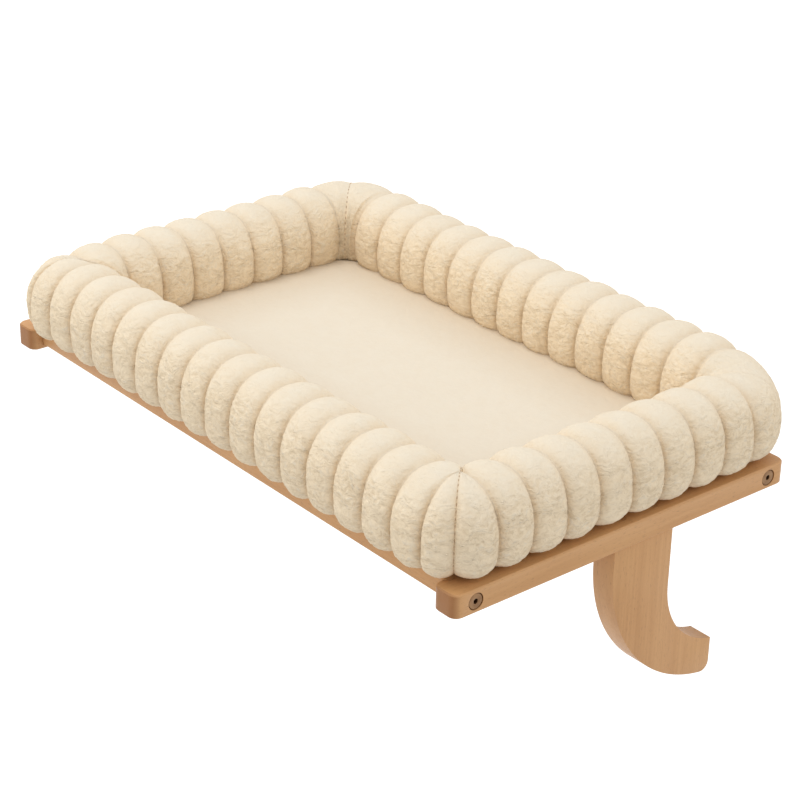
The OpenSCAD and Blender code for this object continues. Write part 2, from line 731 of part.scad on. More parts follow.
// How full a lobe is at a place between two channels, from 0 at a channel to 1 between them.
function swell_at(share) = share <= 0 ? 0 : share >= 1 ? 0 : sqrt(sin(180*share));

// Fullness at a place s along a tube from low to high, whose channels start at g0 with this pitch.
// What is left of the tube at each end is half of a corner's lobe.
function fullness(s, low, high, g0, pitch, lobes) =
    s < g0 ? swell_at((g0-s)/(g0-low)) :
    s > g0+lobes*pitch ? swell_at((s-g0-lobes*pitch)/(high-g0-lobes*pitch)) :
    swell_at((s-g0)/pitch-floor((s-g0)/pitch+0.001));

// Length of a tube's outer line from its middle to the corner's seam, round the turn.
function reach(half, turn) = half-turn*(1-PI/4);

// Where the line at u out from a tube's middle is, as [along, out], at the place s. Outside the
// pivot it turns round the pivot through 45 degrees. Inside it, it is pressed against the seam.
function placed(s, u, half, turn) =
    u < tube_a-turn ?
        [pressed(s, half-tube_a+u-seam_gap, reach(half, turn), press_depth(u, turn)), u] :
    s <= half-turn ? [s, u] :
    turned(u-tube_a+turn, (s-half+turn)/turn*180/PI, half, turn);
function turned(rho, angle, half, turn) =
    [half-turn+rho*sin(angle)-seam_gap*angle/45, tube_a-turn+rho*cos(angle)];
function press_depth(u, turn) = squeeze*min(1, (tube_a-turn-u)/tube_a+0.05);
function pressed(s, seam, end, depth) =
    s <= seam-depth ? s : pressed_share((s-seam+depth)/(end-seam+depth), seam, end, depth);
function pressed_share(t, seam, end, depth) =
    seam-depth+t*(end-seam+depth)/(1+t*((end-seam+depth)/depth-1));

// The places of a tube's rings: steps across each corner and four to a lobe.
function tube_stations(low, high, g0, pitch, lobes, steps) = concat(
    [for (i = [0:steps-1]) low+(g0-low)*i/steps],
    [for (i = [0:4*lobes]) g0+pitch*i/4],
    [for (i = [1:steps]) g0+lobes*pitch+(high-g0-lobes*pitch)*i/steps]);

function tube_ring(s, full, half, turn) = [for (j = [0:SIDES-1])
    let (c = cos(360*(j+0.5)/SIDES),
         d = sin(360*(j+0.5)/SIDES),
         u = (tube_a+lobe_swell*full)*spow(c, d > 0 ? 0.9 : 0.66),
         z = tube_z+(d > 0 ? (tube_rise+lobe_swell*full)*pow(d, 0.9) : tube_low*spow(d, 0.66)),
         place = placed(abs(s), u, half, turn))
    [s < 0 ? -place[0] : place[0], -place[1], z]];

// One bolster tube along X, with its middle at the origin and its outer side towards -Y. Its ends
// turn on radii turns[0], towards -X, and turns[1].
module tube(length, lobes, lobe_share, shift, steps, turns) {
    half = length/2;
    low = -reach(half, turns[0]);
    high = reach(half, turns[1]);
    pitch = length*lobe_share/lobes;
    g0 = shift-pitch*lobes/2;
    stations = tube_stations(low, high, g0, pitch, lobes, steps);
    last = len(stations)*SIDES;
    points = concat(
        [for (s = stations)
            for (p = tube_ring(s, fullness(s, low, high, g0, pitch, lobes), half, turns[s < 0 ? 0 : 1]))
                p],
        [[-half+tube_a+seam_gap, 0, tube_z], [half-tube_a-seam_gap, 0, tube_z]]);
    faces = concat(
        [for (i = [0:len(stations)-2]) for (j = [0:SIDES-1])
            [i*SIDES+j, i*SIDES+(j+1)%SIDES, (i+1)*SIDES+j]],
        [for (i = [0:len(stations)-2]) for (j = [0:SIDES-1])
            [i*SIDES+(j+1)%SIDES, (i+1)*SIDES+(j+1)%SIDES, (i+1)*SIDES+j]],
        [for (j = [0:SIDES-1]) [last, (j+1)%SIDES, j]],
        [for (j = [0:SIDES-1]) [last+1, last-SIDES+j, last-SIDES+(j+1)%SIDES]]);
    polyhedron(points=points, faces=faces);
}

module bolster_front() {
    color([0.93, 0.87, 0.77])
        translate([bed_x, bed_y-bed_d/2+tube_a, 0])
            tube(bed_w, front_lobes, front_lobe_share, -bed_w*front_shift_share, 4,
                [left_turn, near_turn]);
}

module bolster_rear() {
    color([0.93, 0.87, 0.77])
        translate([bed_x, bed_y+bed_d/2-tube_a, 0])
            rotate([0, 0, 180]) tube(bed_w, rear_lobes, rear_lobe_share, 0, 6, [rear_turn, rear_turn]);
}

module bolster_right() {
    color([0.93, 0.87, 0.77])
        translate([bed_x+bed_w/2-tube_a, bed_y, 0])
            rotate([0, 0, 90])
                tube(bed_d, side_lobes, side_lobe_share, -bed_d*side_shift_share, 5,
                    [near_turn, rear_turn]);
}

module bolster_left() {
    color([0.93, 0.87, 0.77])
        translate([bed_x-bed_w/2+tube_a, bed_y, 0])
            rotate([0, 0, -90])
                tube(bed_d, side_lobes, side_lobe_share, bed_d*side_shift_share, 5,
                    [rear_turn, left_turn]);
}

end_rail(1);  // end_rail_right
end_rail(-1);  // end_rail_left
front_rail();
rear_rail();
frame_bolts();
barrel_nuts();
leg(1);  // leg_right
leg(-1);  // leg_left
leg_screws();
leg_dowels();
toe_pads();
sill_pads();
bearer(bearer_x, true);  // bearer_right
bearer(-bearer_x, true);  // bearer_left
bearer(0, false);  // bearer_middle
bearer_screws();
base_panel();
panel_screws();
tee_nuts();
guide_straps();
strap_screws();
hook(1);  // hook_right
hook(-1);  // hook_left
hook_pad(1);  // hook_pad_right
hook_pad(-1);  // hook_pad_left
washer(1);  // washer_right
washer(-1);  // washer_left
knob(1);  // knob_right
knob(-1);  // knob_left
stud(1);  // stud_right
stud(-1);  // stud_left
grip_strips();
loop_strips();
bed_base();
bed_pad();
bolster_front();
bolster_rear();
bolster_right();
bolster_left();
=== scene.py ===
"""Looks of the window sill cat perch: a beech frame on hooked legs, with a channelled plush bed."""

import math

import bmesh
import bpy
import numpy as np
from mathutils import Matrix, Vector


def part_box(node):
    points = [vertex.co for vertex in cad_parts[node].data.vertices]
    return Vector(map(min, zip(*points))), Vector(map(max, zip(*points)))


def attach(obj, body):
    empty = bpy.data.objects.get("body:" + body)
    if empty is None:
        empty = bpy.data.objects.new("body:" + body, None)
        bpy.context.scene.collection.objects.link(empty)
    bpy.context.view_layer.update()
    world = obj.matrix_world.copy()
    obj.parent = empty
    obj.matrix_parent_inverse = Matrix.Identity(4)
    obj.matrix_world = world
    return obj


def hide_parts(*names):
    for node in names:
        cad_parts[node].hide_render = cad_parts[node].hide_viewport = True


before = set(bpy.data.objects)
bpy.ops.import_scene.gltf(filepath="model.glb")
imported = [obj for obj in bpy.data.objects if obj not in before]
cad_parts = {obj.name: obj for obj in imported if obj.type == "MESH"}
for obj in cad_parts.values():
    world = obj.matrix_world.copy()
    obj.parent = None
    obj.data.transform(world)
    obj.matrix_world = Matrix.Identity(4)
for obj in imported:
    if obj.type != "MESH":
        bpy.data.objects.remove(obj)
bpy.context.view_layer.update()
MM = 0.001

# The camera, solved from the frame's corners, the bolts and the bolster's channels in the photo.
CAMERA_AZIMUTH = 49.993
CAMERA_ELEVATION = 25.974
CAMERA_ROLL = 1.208
CAMERA_DISTANCE = 1.8824
CAMERA_TARGET = Vector((-0.00095, -0.02524, 0))
CAMERA_LENS = 98.44

# The studio: the floor's level, grey and glow, the light from all round, and the lamps, with their
# places and sizes in metres and their watts.
FLOOR_LEVEL = -2.4
FLOOR_GREY = 0.86
FLOOR_GLOW = 0.55
WORLD_LIGHT = 0.75
LAMPS = (
    ("key", (-0.6, -0.4, 2.9), 1.8, 33),
    ("fill", (2.0, 1.5, 0.9), 1.6, 8),
    ("low", (-1.4, -2.4, 0.9), 1.6, 14),
)

# Rounded edges: points nearer than this are one, in metres, and the angles in degrees up to which
# faces are merged, edges aren't rounded, and shading is smooth.
WELD = 0.000002
FLAT_BELOW = 0.6
EASED_ABOVE = 28
SMOOTH_BELOW = 40
EASED_SEGMENTS = 3

# Lengths from here on are in millimetres. The bed's sizes are those of the part's source.
BED_W = 595
BED_D = 388
BED_X = 7
BED_Y = -37
TUBE_A = 34
TUBE_RISE = 42
TUBE_Z = 50
TUBE_FLOOR = 20.3
FRONT_LOBES = 16
REAR_LOBES = 13
SIDE_LOBES = 8
FRONT_LOBE_SHARE = 0.898
REAR_LOBE_SHARE = 0.73
SIDE_LOBE_SHARE = 0.689
FRONT_SHIFT = -BED_W*0.012
SIDE_SHIFT = -BED_D*0.034
NEAR_TURN = 44.5
LEFT_TURN = 35
REAR_TURN = 76
SQUEEZE = TUBE_A*0.44
LEAST_SQUEEZE = 0.05

# How finely the plush is modelled: cloth cells to a lobe and round a tube, and cuts in each.
CELLS_TO_A_LOBE = 7
CELLS_ROUND = 50
CUTS = 4
FINE_ANGLES = 4001

# The section of a tube: how square it is above and below its widest level, and how much squarer
# the front one's foot is where it leans over the rail, which starts this far from the mitres.
CREST_POWER = 0.9
FOOT_POWER = 0.66
FRONT_SAG = 0.18
SAG_REACH = 30

# The lobes: how far they swell, how far they are pressed together on the inside of a corner, and
# how much of its arc a corner's lobe runs through before it meets the mitre.
LOBE_SWELL = 2.4
PRESSED_LOBES = 1.6
PRESSED_FULLNESS = 0.72
CORNER_ARC = 0.96
REAR_CORNER_ARC = 0.78

# Two corners are slack: how far their crests sink and lean in, and how far along that reaches.
LEFT_DROOP = 5
RIGHT_DROOP = 8
DROOP_REACH = 75
DROOP_OUT = 0.5

# The channels: how deep the thread pulls in at the crest, the sides and the foot, how far it lifts
# the base, how much more gently the lobes swell over the crest, and how round their feet are.
CREASE_CREST = 2.8
CREASE_SIDE = 6.5
CREASE_FOOT = 1.5
CREASE_BASE = 7.5
CREST_SOFTNESS = 1
ROUND_FOOT = 0.8
ROUND_CORNER_FOOT = 0.45

# How much of that is left on the inner side, by the pad, and where along the section it changes.
INNER_CREASE = 0.75
INNER_BASE = 0.35
INNER_TO_OUTER = (-0.6, 0.2)

# The cloth that blows the lobes up: its pressure, growth and frames, how far it may move, how high
# over the tube's floor it is held, and how often its moves are smoothed.
CLOTH_PRESSURE = 4
CLOTH_GROWTH = 0.01
CLOTH_FRAMES = 20
CLOTH_LIMIT = 2.2
HELD_FOOT = 2
SMOOTHINGS = 4

# The pile: its clumps along and round a tube, their height, and how far and how broadly they
# swirl. The noise steps only keep its patterns apart.
CLUMP_ALONG = 5.5
CLUMP_ROUND = 2.3
CLUMP_HEIGHT = 0.85
CLUMP_SWIRL = 3
SWIRL_SIZE = 9
CLUMP_CONTRAST = 1.5
BIG_CLUMPS = 0.65
SMALL_CLUMP_SCALE = 2.1
SEED_STEP = 7.3
SWIRL_STEP = 31.7
SMALL_STEP = 11.7

# Its fuzz, its broad waves, its middle level, how much calmer it is at the crest, how much is left
# in a channel, how far from a mitre it starts, and how far under the tube's floor it may reach.
FUZZ_HEIGHT = 0.2
BROAD_SIZE = 21
BROAD_HEIGHT = 0.8
PILE_LEVEL = 0.4
CREST_CALM = 0.6
CHANNEL_PILE = 0.3
MITRE_TAPER = 12
BELOW_FLOOR = 0.2

# How dark the painted shade in a channel is, how fast it fades, how much of it is lost at the
# crest, and how dark the painted shade between clumps is.
CHANNEL_SHADE = 0.28
CHANNEL_SHADE_POWER = 1.5
SHADE_LOST_AT_CREST = 0.7
GAP_SHADE = 0.4

# The pad: how far it runs in under the bolsters, its underside, its edge, its crown, its pile and
# the low rolls of its fill.
PAD_UNDER = 11
PAD_HALF = (BED_W/2-TUBE_A*2+PAD_UNDER, BED_D/2-TUBE_A*2+PAD_UNDER)
PAD_CORNER = 34
PAD_STEP = 1.6
PAD_LOW = 20.4
PAD_EDGE = 9.5
PAD_EDGE_REACH = 6
PAD_CROWN = 1.3
PAD_CROWN_REACH = 110
PAD_CLUMP_HEIGHT = 0.3
PAD_PILE_LEVEL = 0.5
PAD_ROLL_SIZE = 70
PAD_ROLL_HEIGHT = 1.1

# Painted shade on the pad: how dark it is between its clumps and under the bolsters, and how far
# in that reaches.
PAD_GAP_SHADE = 0.15
PAD_SHADE = 0.36
PAD_SHADE_REACH = 90

# Seeds of the random draws.
FIRST_TUBE_SEED = 20
NEXT_TUBE_SEED = 10
PAD_SEED = 91
PAD_ROLL_SEED = 55

# The stitches along the mitres, how far each dips into the pile along its length, and how thin
# its tips are.
STITCH_LONG = 3.2
STITCH_PITCH = 5.2
STITCH_RADIUS = 0.34
STITCH_START = 2
STITCH_DIP = (0.8, 0.2, 0, 0.2, 0.8)
THREAD_TIP = 0.6

# How far the stitches at each bolster's high end stand out of the pile. At two corners of the bed
# they are lost in it.
STITCH_TOPS = {"bolster_front": 0.3, "bolster_rear": 0.3, "bolster_right": -0.4,
               "bolster_left": -0.4}

# The woven base, in metres: its corners, and its edge as insets at shares of its thickness.
BASE_CORNER = 0.012
BASE_CORNER_POINTS = 8
BASE_PROFILE = ((0.0008, 0), (0, 0.3), (0, 0.7), (0.0008, 1))
BASE_SMOOTH_BELOW = 50

# A wave texture's period at a scale of 1, in metres.
WAVE_PERIOD = 0.314

# The lattice noise: its random values, and primes that pick one for each lattice point.
NOISE_VALUES = 4096
NOISE_PRIMES = (73856093, 19349663, 83492791)


def signed_power(value, exponent):
    return np.sign(value)*np.abs(value)**exponent


def smooth_noise(points, seed):
    """Smooth noise from -1 to 1 at each point, from random values on a unit lattice."""
    table = np.random.default_rng(seed).uniform(-1, 1, NOISE_VALUES)
    first, second, third = NOISE_PRIMES
    cell = np.floor(points).astype(np.int64)
    part = points-cell
    part = part*part*(3-2*part)
    total = np.zeros(len(points))
    for step in np.ndindex(2, 2, 2):
        corner = cell+step
        mixed = corner[:, 0]*first ^ corner[:, 1]*second ^ corner[:, 2]*third
        total += table[mixed % NOISE_VALUES]*np.prod(np.where(step, part, 1-part), axis=1)
    return total


# Camera, floor and light.

def linked(name, data):
    """A new object in the scene."""
    thing = bpy.data.objects.new(name, data)
    bpy.context.scene.collection.objects.link(thing)
    return thing


def make_camera():
    azimuth, elevation, roll = map(math.radians, (CAMERA_AZIMUTH, CAMERA_ELEVATION, CAMERA_ROLL))
    back = Vector((math.sin(azimuth)*math.cos(elevation), -math.cos(azimuth)*math.cos(elevation),
                   math.sin(elevation)))
    right = Vector((math.cos(azimuth), math.sin(azimuth), 0))
    up = back.cross(right)
    turned_right = right*math.cos(roll)+up*math.sin(roll)
    turned_up = up*math.cos(roll)-right*math.sin(roll)
    camera = linked("camera", bpy.data.cameras.new("camera"))
    axes = Matrix((turned_right, turned_up, back)).transposed()
    camera.matrix_world = Matrix.Translation(CAMERA_TARGET+back*CAMERA_DISTANCE) @ axes.to_4x4()
    camera.data.lens = CAMERA_LENS
    bpy.context.scene.camera = camera


def nodes_of(tree):
    tree.nodes.clear()
    return tree.nodes, tree.links


def set_inputs(node, **values):
    """Sets a node's inputs. An underscore stands for a space in an input's name."""
    for name, value in values.items():
        node.inputs[name.replace("_", " ")].default_value = value


def make_floor(half=15):
    """A pale floor, so far below the perch that its shadow is soft."""
    mesh = bpy.data.meshes.new("floor")
    corners = [(x*half, y*half, FLOOR_LEVEL) for x, y in ((-1, -1), (1, -1), (1, 1), (-1, 1))]
    mesh.from_pydata(corners, [], [(0, 1, 2, 3)])
    mesh.materials.append(floor_material())
    floor = linked("floor", mesh)


def floor_material():
    """Pale grey that takes a shadow, with a glow on top that makes it look white to the camera."""
    material = bpy.data.materials.new("floor")
    material.use_nodes = True
    nodes, links = nodes_of(material.node_tree)
    out = nodes.new("ShaderNodeOutputMaterial")
    diffuse = nodes.new("ShaderNodeBsdfDiffuse")
    set_inputs(diffuse, Color=(FLOOR_GREY, FLOOR_GREY, FLOOR_GREY, 1))
    glow = nodes.new("ShaderNodeEmission")
    set_inputs(glow, Color=(1, 1, 1, 1))
    strength = nodes.new("ShaderNodeMath")
    strength.operation = "MULTIPLY"
    strength.inputs[1].default_value = FLOOR_GLOW
    links.new(seen_by_camera(nodes, links), strength.inputs[0])
    links.new(strength.outputs[0], glow.inputs["Strength"])
    both = nodes.new("ShaderNodeAddShader")
    links.new(diffuse.outputs[0], both.inputs[0])
    links.new(glow.outputs[0], both.inputs[1])
    links.new(both.outputs[0], out.inputs["Surface"])
    return material


def seen_by_camera(nodes, links):
    """1 for rays from the camera, from gloss and through glass, and 0 for the rest."""
    path = nodes.new("ShaderNodeLightPath")
    seen = path.outputs["Is Camera Ray"]
    for kind in ("Is Glossy Ray", "Is Transmission Ray"):
        either = nodes.new("ShaderNodeMath")
        either.operation = "MAXIMUM"
        links.new(seen, either.inputs[0])
        links.new(path.outputs[kind], either.inputs[1])
        seen = either.outputs[0]
    return seen


def make_world():
    """Even white light from all round, behind a background that looks pure white."""
    world = bpy.data.worlds.new("studio")
    world.use_nodes = True
    nodes, links = nodes_of(world.node_tree)
    out = nodes.new("ShaderNodeOutputWorld")
    background = nodes.new("ShaderNodeBackground")
    set_inputs(background, Color=(1, 1, 1, 1))
    mix = nodes.new("ShaderNodeMapRange")
    set_inputs(mix, To_Min=WORLD_LIGHT, To_Max=1)
    links.new(seen_by_camera(nodes, links), mix.inputs["Value"])
    links.new(mix.outputs[0], background.inputs["Strength"])
    links.new(background.outputs[0], out.inputs["Surface"])
    bpy.context.scene.world = world


def make_lamp(name, place, size, watts):
    """A round white lamp that faces the perch."""
    lamp = linked(name, bpy.data.lights.new(name, "AREA"))
    lamp.data.shape = "DISK"
    lamp.data.size = size
    lamp.data.energy = watts
    lamp.location = place
    lamp.rotation_euler = (-Vector(place)).to_track_quat("-Z", "Y").to_euler()


# Materials. Each is made of nodes, and takes its grain from the object's own coordinates.

class Surface:
    """A material under way, and short ways to add nodes to it."""

    def __init__(self, name):
        self.material = bpy.data.materials.new(name)
        self.material.use_nodes = True
        self.nodes, self.links = nodes_of(self.material.node_tree)
        out = self.nodes.new("ShaderNodeOutputMaterial")
        self.shader = self.nodes.new("ShaderNodeBsdfPrincipled")
        self.links.new(self.shader.outputs[0], out.inputs["Surface"])
        self.place = self.nodes.new("ShaderNodeTexCoord").outputs["Object"]

    def stretched(self, scale, place=None):
        mapping = self.nodes.new("ShaderNodeMapping")
        set_inputs(mapping, Scale=scale)
        self.links.new(place or self.place, mapping.inputs["Vector"])
        return mapping.outputs[0]

    def pushed_about(self, scale, distance):
        """Coordinates that wander by up to half the distance, so that a pattern on them swirls."""
        noise = self.nodes.new("ShaderNodeTexNoise")
        set_inputs(noise, Scale=scale, Detail=1)
        self.links.new(self.place, noise.inputs["Vector"])
        push = self.nodes.new("ShaderNodeVectorMath")
        push.operation = "MULTIPLY_ADD"
        push.inputs[1].default_value = (distance, distance, distance)
        self.links.new(noise.outputs["Color"], push.inputs[0])
        self.links.new(self.place, push.inputs[2])
        return push.outputs[0]

    def noise(self, scale, detail=3, roughness=0.5, place=None, distortion=0):
        noise = self.nodes.new("ShaderNodeTexNoise")
        set_inputs(noise, Scale=scale, Detail=detail, Roughness=roughness, Distortion=distortion)
        self.links.new(place or self.place, noise.inputs["Vector"])
        return noise.outputs["Fac"]

    def ramp(self, factor, *stops):
        ramp = self.nodes.new("ShaderNodeValToRGB")
        while len(ramp.color_ramp.elements) < len(stops):
            ramp.color_ramp.elements.new(0.5)
        for element, (position, colour) in zip(ramp.color_ramp.elements, stops):
            element.position = position
            element.color = (*colour, 1)
        self.links.new(factor, ramp.inputs["Fac"])
        return ramp.outputs["Color"]

    def mix(self, factor, first, second):
        """Two colours mixed by a factor. Each colour is a socket, or red, green and blue."""
        mix = self.nodes.new("ShaderNodeMix")
        mix.data_type = "RGBA"
        first_socket, second_socket, result = mix.inputs[6], mix.inputs[7], mix.outputs[2]
        self.links.new(factor, mix.inputs["Factor"])
        for socket, value in ((first_socket, first), (second_socket, second)):
            if hasattr(value, "links"):
                self.links.new(value, socket)
            else:
                socket.default_value = (*value, 1)
        return result

    def spread(self, factor, low, high, to_low, to_high):
        """A factor mapped so that low becomes to_low and high becomes to_high."""
        spread = self.nodes.new("ShaderNodeMapRange")
        set_inputs(spread, From_Min=low, From_Max=high, To_Min=to_low, To_Max=to_high)
        self.links.new(factor, spread.inputs["Value"])
        return spread.outputs[0]

    def facing(self, axis):
        """How far a surface faces along an axis, from -1 to 1."""
        geometry = self.nodes.new("ShaderNodeNewGeometry")
        parts = self.nodes.new("ShaderNodeSeparateXYZ")
        self.links.new(geometry.outputs["Normal"], parts.inputs[0])
        return parts.outputs[axis]

    def end_grain(self, along, strength):
        """How far a surface faces along the grain, where the cut ends of the fibres look darker."""
        size = self.nodes.new("ShaderNodeMath")
        size.operation = "ABSOLUTE"
        self.links.new(self.facing(along), size.inputs[0])
        return self.spread(size.outputs[0], 0.3, 0.85, 0, strength)

    def attribute(self, name):
        attribute = self.nodes.new("ShaderNodeAttribute")
        attribute.attribute_name = name
        return attribute.outputs["Fac"]

    def colour(self, socket):
        self.links.new(socket, self.shader.inputs["Base Color"])

    def roughness(self, factor, low, high):
        self.links.new(self.spread(factor, 0, 1, low, high), self.shader.inputs["Roughness"])

    def bump(self, *heights):
        """Adds bumps. Each is a factor, a height in metres, and if it varies, its strength."""
        normal = None
        for factor, height, *strength in heights:
            bump = self.nodes.new("ShaderNodeBump")
            set_inputs(bump, Strength=1, Distance=height)
            self.links.new(factor, bump.inputs["Height"])
            if strength:
                self.links.new(strength[0], bump.inputs["Strength"])
            if normal:
                self.links.new(normal, bump.inputs["Normal"])
            normal = bump.outputs[0]
        self.links.new(normal, self.shader.inputs["Normal"])


def beech(name, grain, ends):
    """Beech with its grain along X, Y or Z: soft bands, and the short dark flecks of its rays. ends
    says how far the cut ends darken."""
    along = "XYZ".index(grain)

    def scale(across, lengthwise):
        return [lengthwise if axis == along else across for axis in range(3)]

    wood = Surface(name)
    bands = wood.noise(1, 4, 0.55, wood.stretched(scale(55, 3.2)), 0.6)
    streaks = wood.noise(1, 5, 0.7, wood.stretched(scale(420, 11)))
    flecks = wood.noise(1, 2, 0.5, wood.stretched(scale(1500, 190)))
    patches = wood.noise(9, 2)
    base = wood.ramp(bands, (0.32, (0.526, 0.267, 0.102)), (0.52, (0.589, 0.311, 0.125)),
                     (0.72, (0.642, 0.355, 0.151)))
    streaked = wood.mix(wood.spread(streaks, 0.42, 0.68, 0, 0.5), base, (0.484, 0.232, 0.084))
    patched = wood.mix(wood.spread(patches, 0.35, 0.65, 0, 0.35), streaked, (0.665, 0.381, 0.167))
    flecked = wood.mix(wood.spread(flecks, 0.60, 0.72, 0, 0.55), patched, (0.31, 0.156, 0.065))
    wood.colour(wood.mix(wood.end_grain(along, ends), flecked, (0.26, 0.088, 0.014)))
    wood.roughness(streaks, 0.42, 0.60)
    set_inputs(wood.shader, Specular_IOR_Level=0.4, Coat_Weight=0.12, Coat_Roughness=0.35)
    wood.bump((streaks, 0.00008), (flecks, 0.00005))
    return wood.material


def plywood():
    """Birch plywood: broad rotary figure on the faces, and layers along the edges."""
    ply = Surface("plywood")
    figure = ply.noise(1, 4, 0.6, ply.stretched((3, 45, 45)), 1.2)
    pores = ply.noise(1, 2, 0.5, ply.stretched((120, 1300, 1300)))
    layers = ply.nodes.new("ShaderNodeTexWave")
    layers.bands_direction = "Z"
    set_inputs(layers, Scale=400)
    ply.links.new(ply.place, layers.inputs["Vector"])
    base = ply.ramp(figure, (0.3, (0.62, 0.44, 0.26)), (0.6, (0.72, 0.54, 0.34)),
                    (0.8, (0.66, 0.47, 0.28)))
    layered = ply.mix(ply.spread(layers.outputs["Fac"], 0, 1, 0, 0.14), base, (0.40, 0.25, 0.13))
    ply.colour(ply.mix(ply.spread(pores, 0.58, 0.7, 0, 0.4), layered, (0.42, 0.27, 0.14)))
    ply.roughness(figure, 0.55, 0.75)
    ply.bump((pores, 0.00006))
    return ply.material


def metal(name, light, dark, rough):
    """Plated steel with faint turning marks and worn, duller patches."""
    steel = Surface(name)
    patches = steel.noise(140, 4, 0.6)
    marks = steel.noise(1, 3, 0.6, steel.stretched((900, 135, 900)))
    steel.colour(steel.mix(steel.spread(patches, 0.35, 0.7, 0, 1), light, dark))
    set_inputs(steel.shader, Metallic=1)
    steel.roughness(patches, rough*0.75, rough*1.3)
    steel.bump((marks, 0.00002))
    return steel.material


def moulded(name, colour, rough, grain_height):
    """Moulded plastic or rubber with a fine spark-eroded grain."""
    plastic = Surface(name)
    grain = plastic.noise(2600, 2, 0.6)
    haze = plastic.noise(60, 3)
    lighter = [min(1, part*1.8+0.01) for part in colour]
    plastic.colour(plastic.mix(plastic.spread(haze, 0.35, 0.7, 0, 0.5), colour, lighter))
    plastic.roughness(haze, rough*0.85, rough*1.1)
    plastic.bump((grain, grain_height))
    return plastic.material


def plush(name, crest, flank, shade, trough_shade, deepest_shade, height):
    """Short-pile plush. It is painted paler on top and warmer on its flanks, as light from above
    falls on it, and the pile lies in ruffled patches, with painted shade in their troughs and
    between the fibres, and painted highlights on their tips. The mesh says how far down a place
    lies in a channel or between clumps, and painted shade darkens it there."""
    pile = Surface(name)
    up = pile.spread(pile.facing(2), 0.25, 1, 0, 1)
    swirled = pile.pushed_about(90, 0.012)
    ruffles = pile.noise(1, 2, 0.5, pile.stretched((170, 170, 400), swirled))
    fibres = pile.noise(1, 3, 0.6, pile.stretched((520, 520, 1300), swirled))
    patches = pile.noise(34, 2)
    tone = pile.noise(70, 3, 0.6)
    # Painted light from above: the colour goes from the flank's to the crest's as the surface turns
    # up.
    painted_top_light = pile.mix(up, flank, crest)
    base = pile.mix(pile.spread(tone, 0.32, 0.68, 0, 0.15), painted_top_light, shade)
    # Painted shade in the troughs of the ruffles, and painted highlights on their tips.
    shaded_troughs = pile.mix(pile.spread(ruffles, 0.50, 0.36, 0, 0.6), base, trough_shade)
    tips = pile.mix(pile.spread(ruffles, 0.56, 0.66, 0, 0.5), shaded_troughs, crest)
    # Painted shade between the fibres.
    shaded_fibre_gaps = pile.mix(pile.spread(fibres, 0.45, 0.34, 0, 0.25), tips, deepest_shade)
    ruffled = pile.mix(pile.spread(patches, 0.36, 0.6, 0.3, 1), base, shaded_fibre_gaps)
    smoother = pile.mix(pile.spread(up, 0, 1, 0, 0.85), ruffled, base)
    # Painted shade in the channels and between the clumps, as much as the mesh's attribute says.
    pile.colour(pile.mix(pile.attribute("painted_shade"), smoother, deepest_shade))
    set_inputs(pile.shader, Roughness=1, Specular_IOR_Level=0.03, Sheen_Weight=0.1,
               Sheen_Roughness=0.4, Sheen_Tint=(1, 0.92, 0.78, 1))
    calm = pile.spread(up, 0, 1, 1, 0.4)
    pile.bump((ruffles, height, calm), (fibres, height*0.4, calm))
    return pile.material


def woven(name, colour, dark, pitch):
    """A plain weave of warp and weft threads, with slubs."""
    cloth = Surface(name)
    threads = []
    for direction in ("X", "Y"):
        wave = cloth.nodes.new("ShaderNodeTexWave")
        wave.bands_direction = direction
        set_inputs(wave, Scale=WAVE_PERIOD/pitch, Distortion=0.4)
        cloth.links.new(cloth.place, wave.inputs["Vector"])
        threads.append(wave.outputs["Fac"])
    weave = cloth.nodes.new("ShaderNodeMath")
    weave.operation = "MULTIPLY"
    cloth.links.new(threads[0], weave.inputs[0])
    cloth.links.new(threads[1], weave.inputs[1])
    slubs = cloth.noise(260, 3, 0.6)
    base = cloth.mix(cloth.spread(slubs, 0.3, 0.7, 0, 1), colour, dark)
    cloth.colour(cloth.mix(cloth.spread(weave.outputs[0], 0, 1, 0.45, 0), base, dark))
    set_inputs(cloth.shader, Roughness=0.95, Specular_IOR_Level=0.15, Sheen_Weight=0.15)
    cloth.bump((weave.outputs[0], 0.0003))
    return cloth.material


def hook_and_loop(name, colour, scale):
    """Hook-and-loop tape: rows of tiny tufts on a dark ground."""
    tape = Surface(name)
    tufts = tape.nodes.new("ShaderNodeTexVoronoi")
    set_inputs(tufts, Scale=scale)
    tape.links.new(tape.place, tufts.inputs["Vector"])
    dots = tape.spread(tufts.outputs["Distance"], 0, 0.6, 1, 0)
    lighter = [part*2.2+0.02 for part in colour]
    tape.colour(tape.mix(dots, colour, lighter))
    set_inputs(tape.shader, Roughness=0.9, Specular_IOR_Level=0.2)
    tape.bump((dots, 0.0004))
    return tape.material


# Pieces that keep a CAD node's shape, with rounded edges.

def mesh_from(form, name):
    """A new mesh with the form's shape, which frees the form."""
    mesh = bpy.data.meshes.new(name)
    form.to_mesh(mesh)
    form.free()
    return mesh


def object_from(name, mesh, material, body):
    piece = linked(name, mesh)
    mesh.materials.clear()
    mesh.materials.append(material)
    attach(piece, body)
    return piece


def apply_modifiers(piece):
    graph = bpy.context.evaluated_depsgraph_get()
    mesh = bpy.data.meshes.new_from_object(piece.evaluated_get(graph))
    old = piece.data
    piece.modifiers.clear()
    piece.data = mesh
    bpy.data.meshes.remove(old)


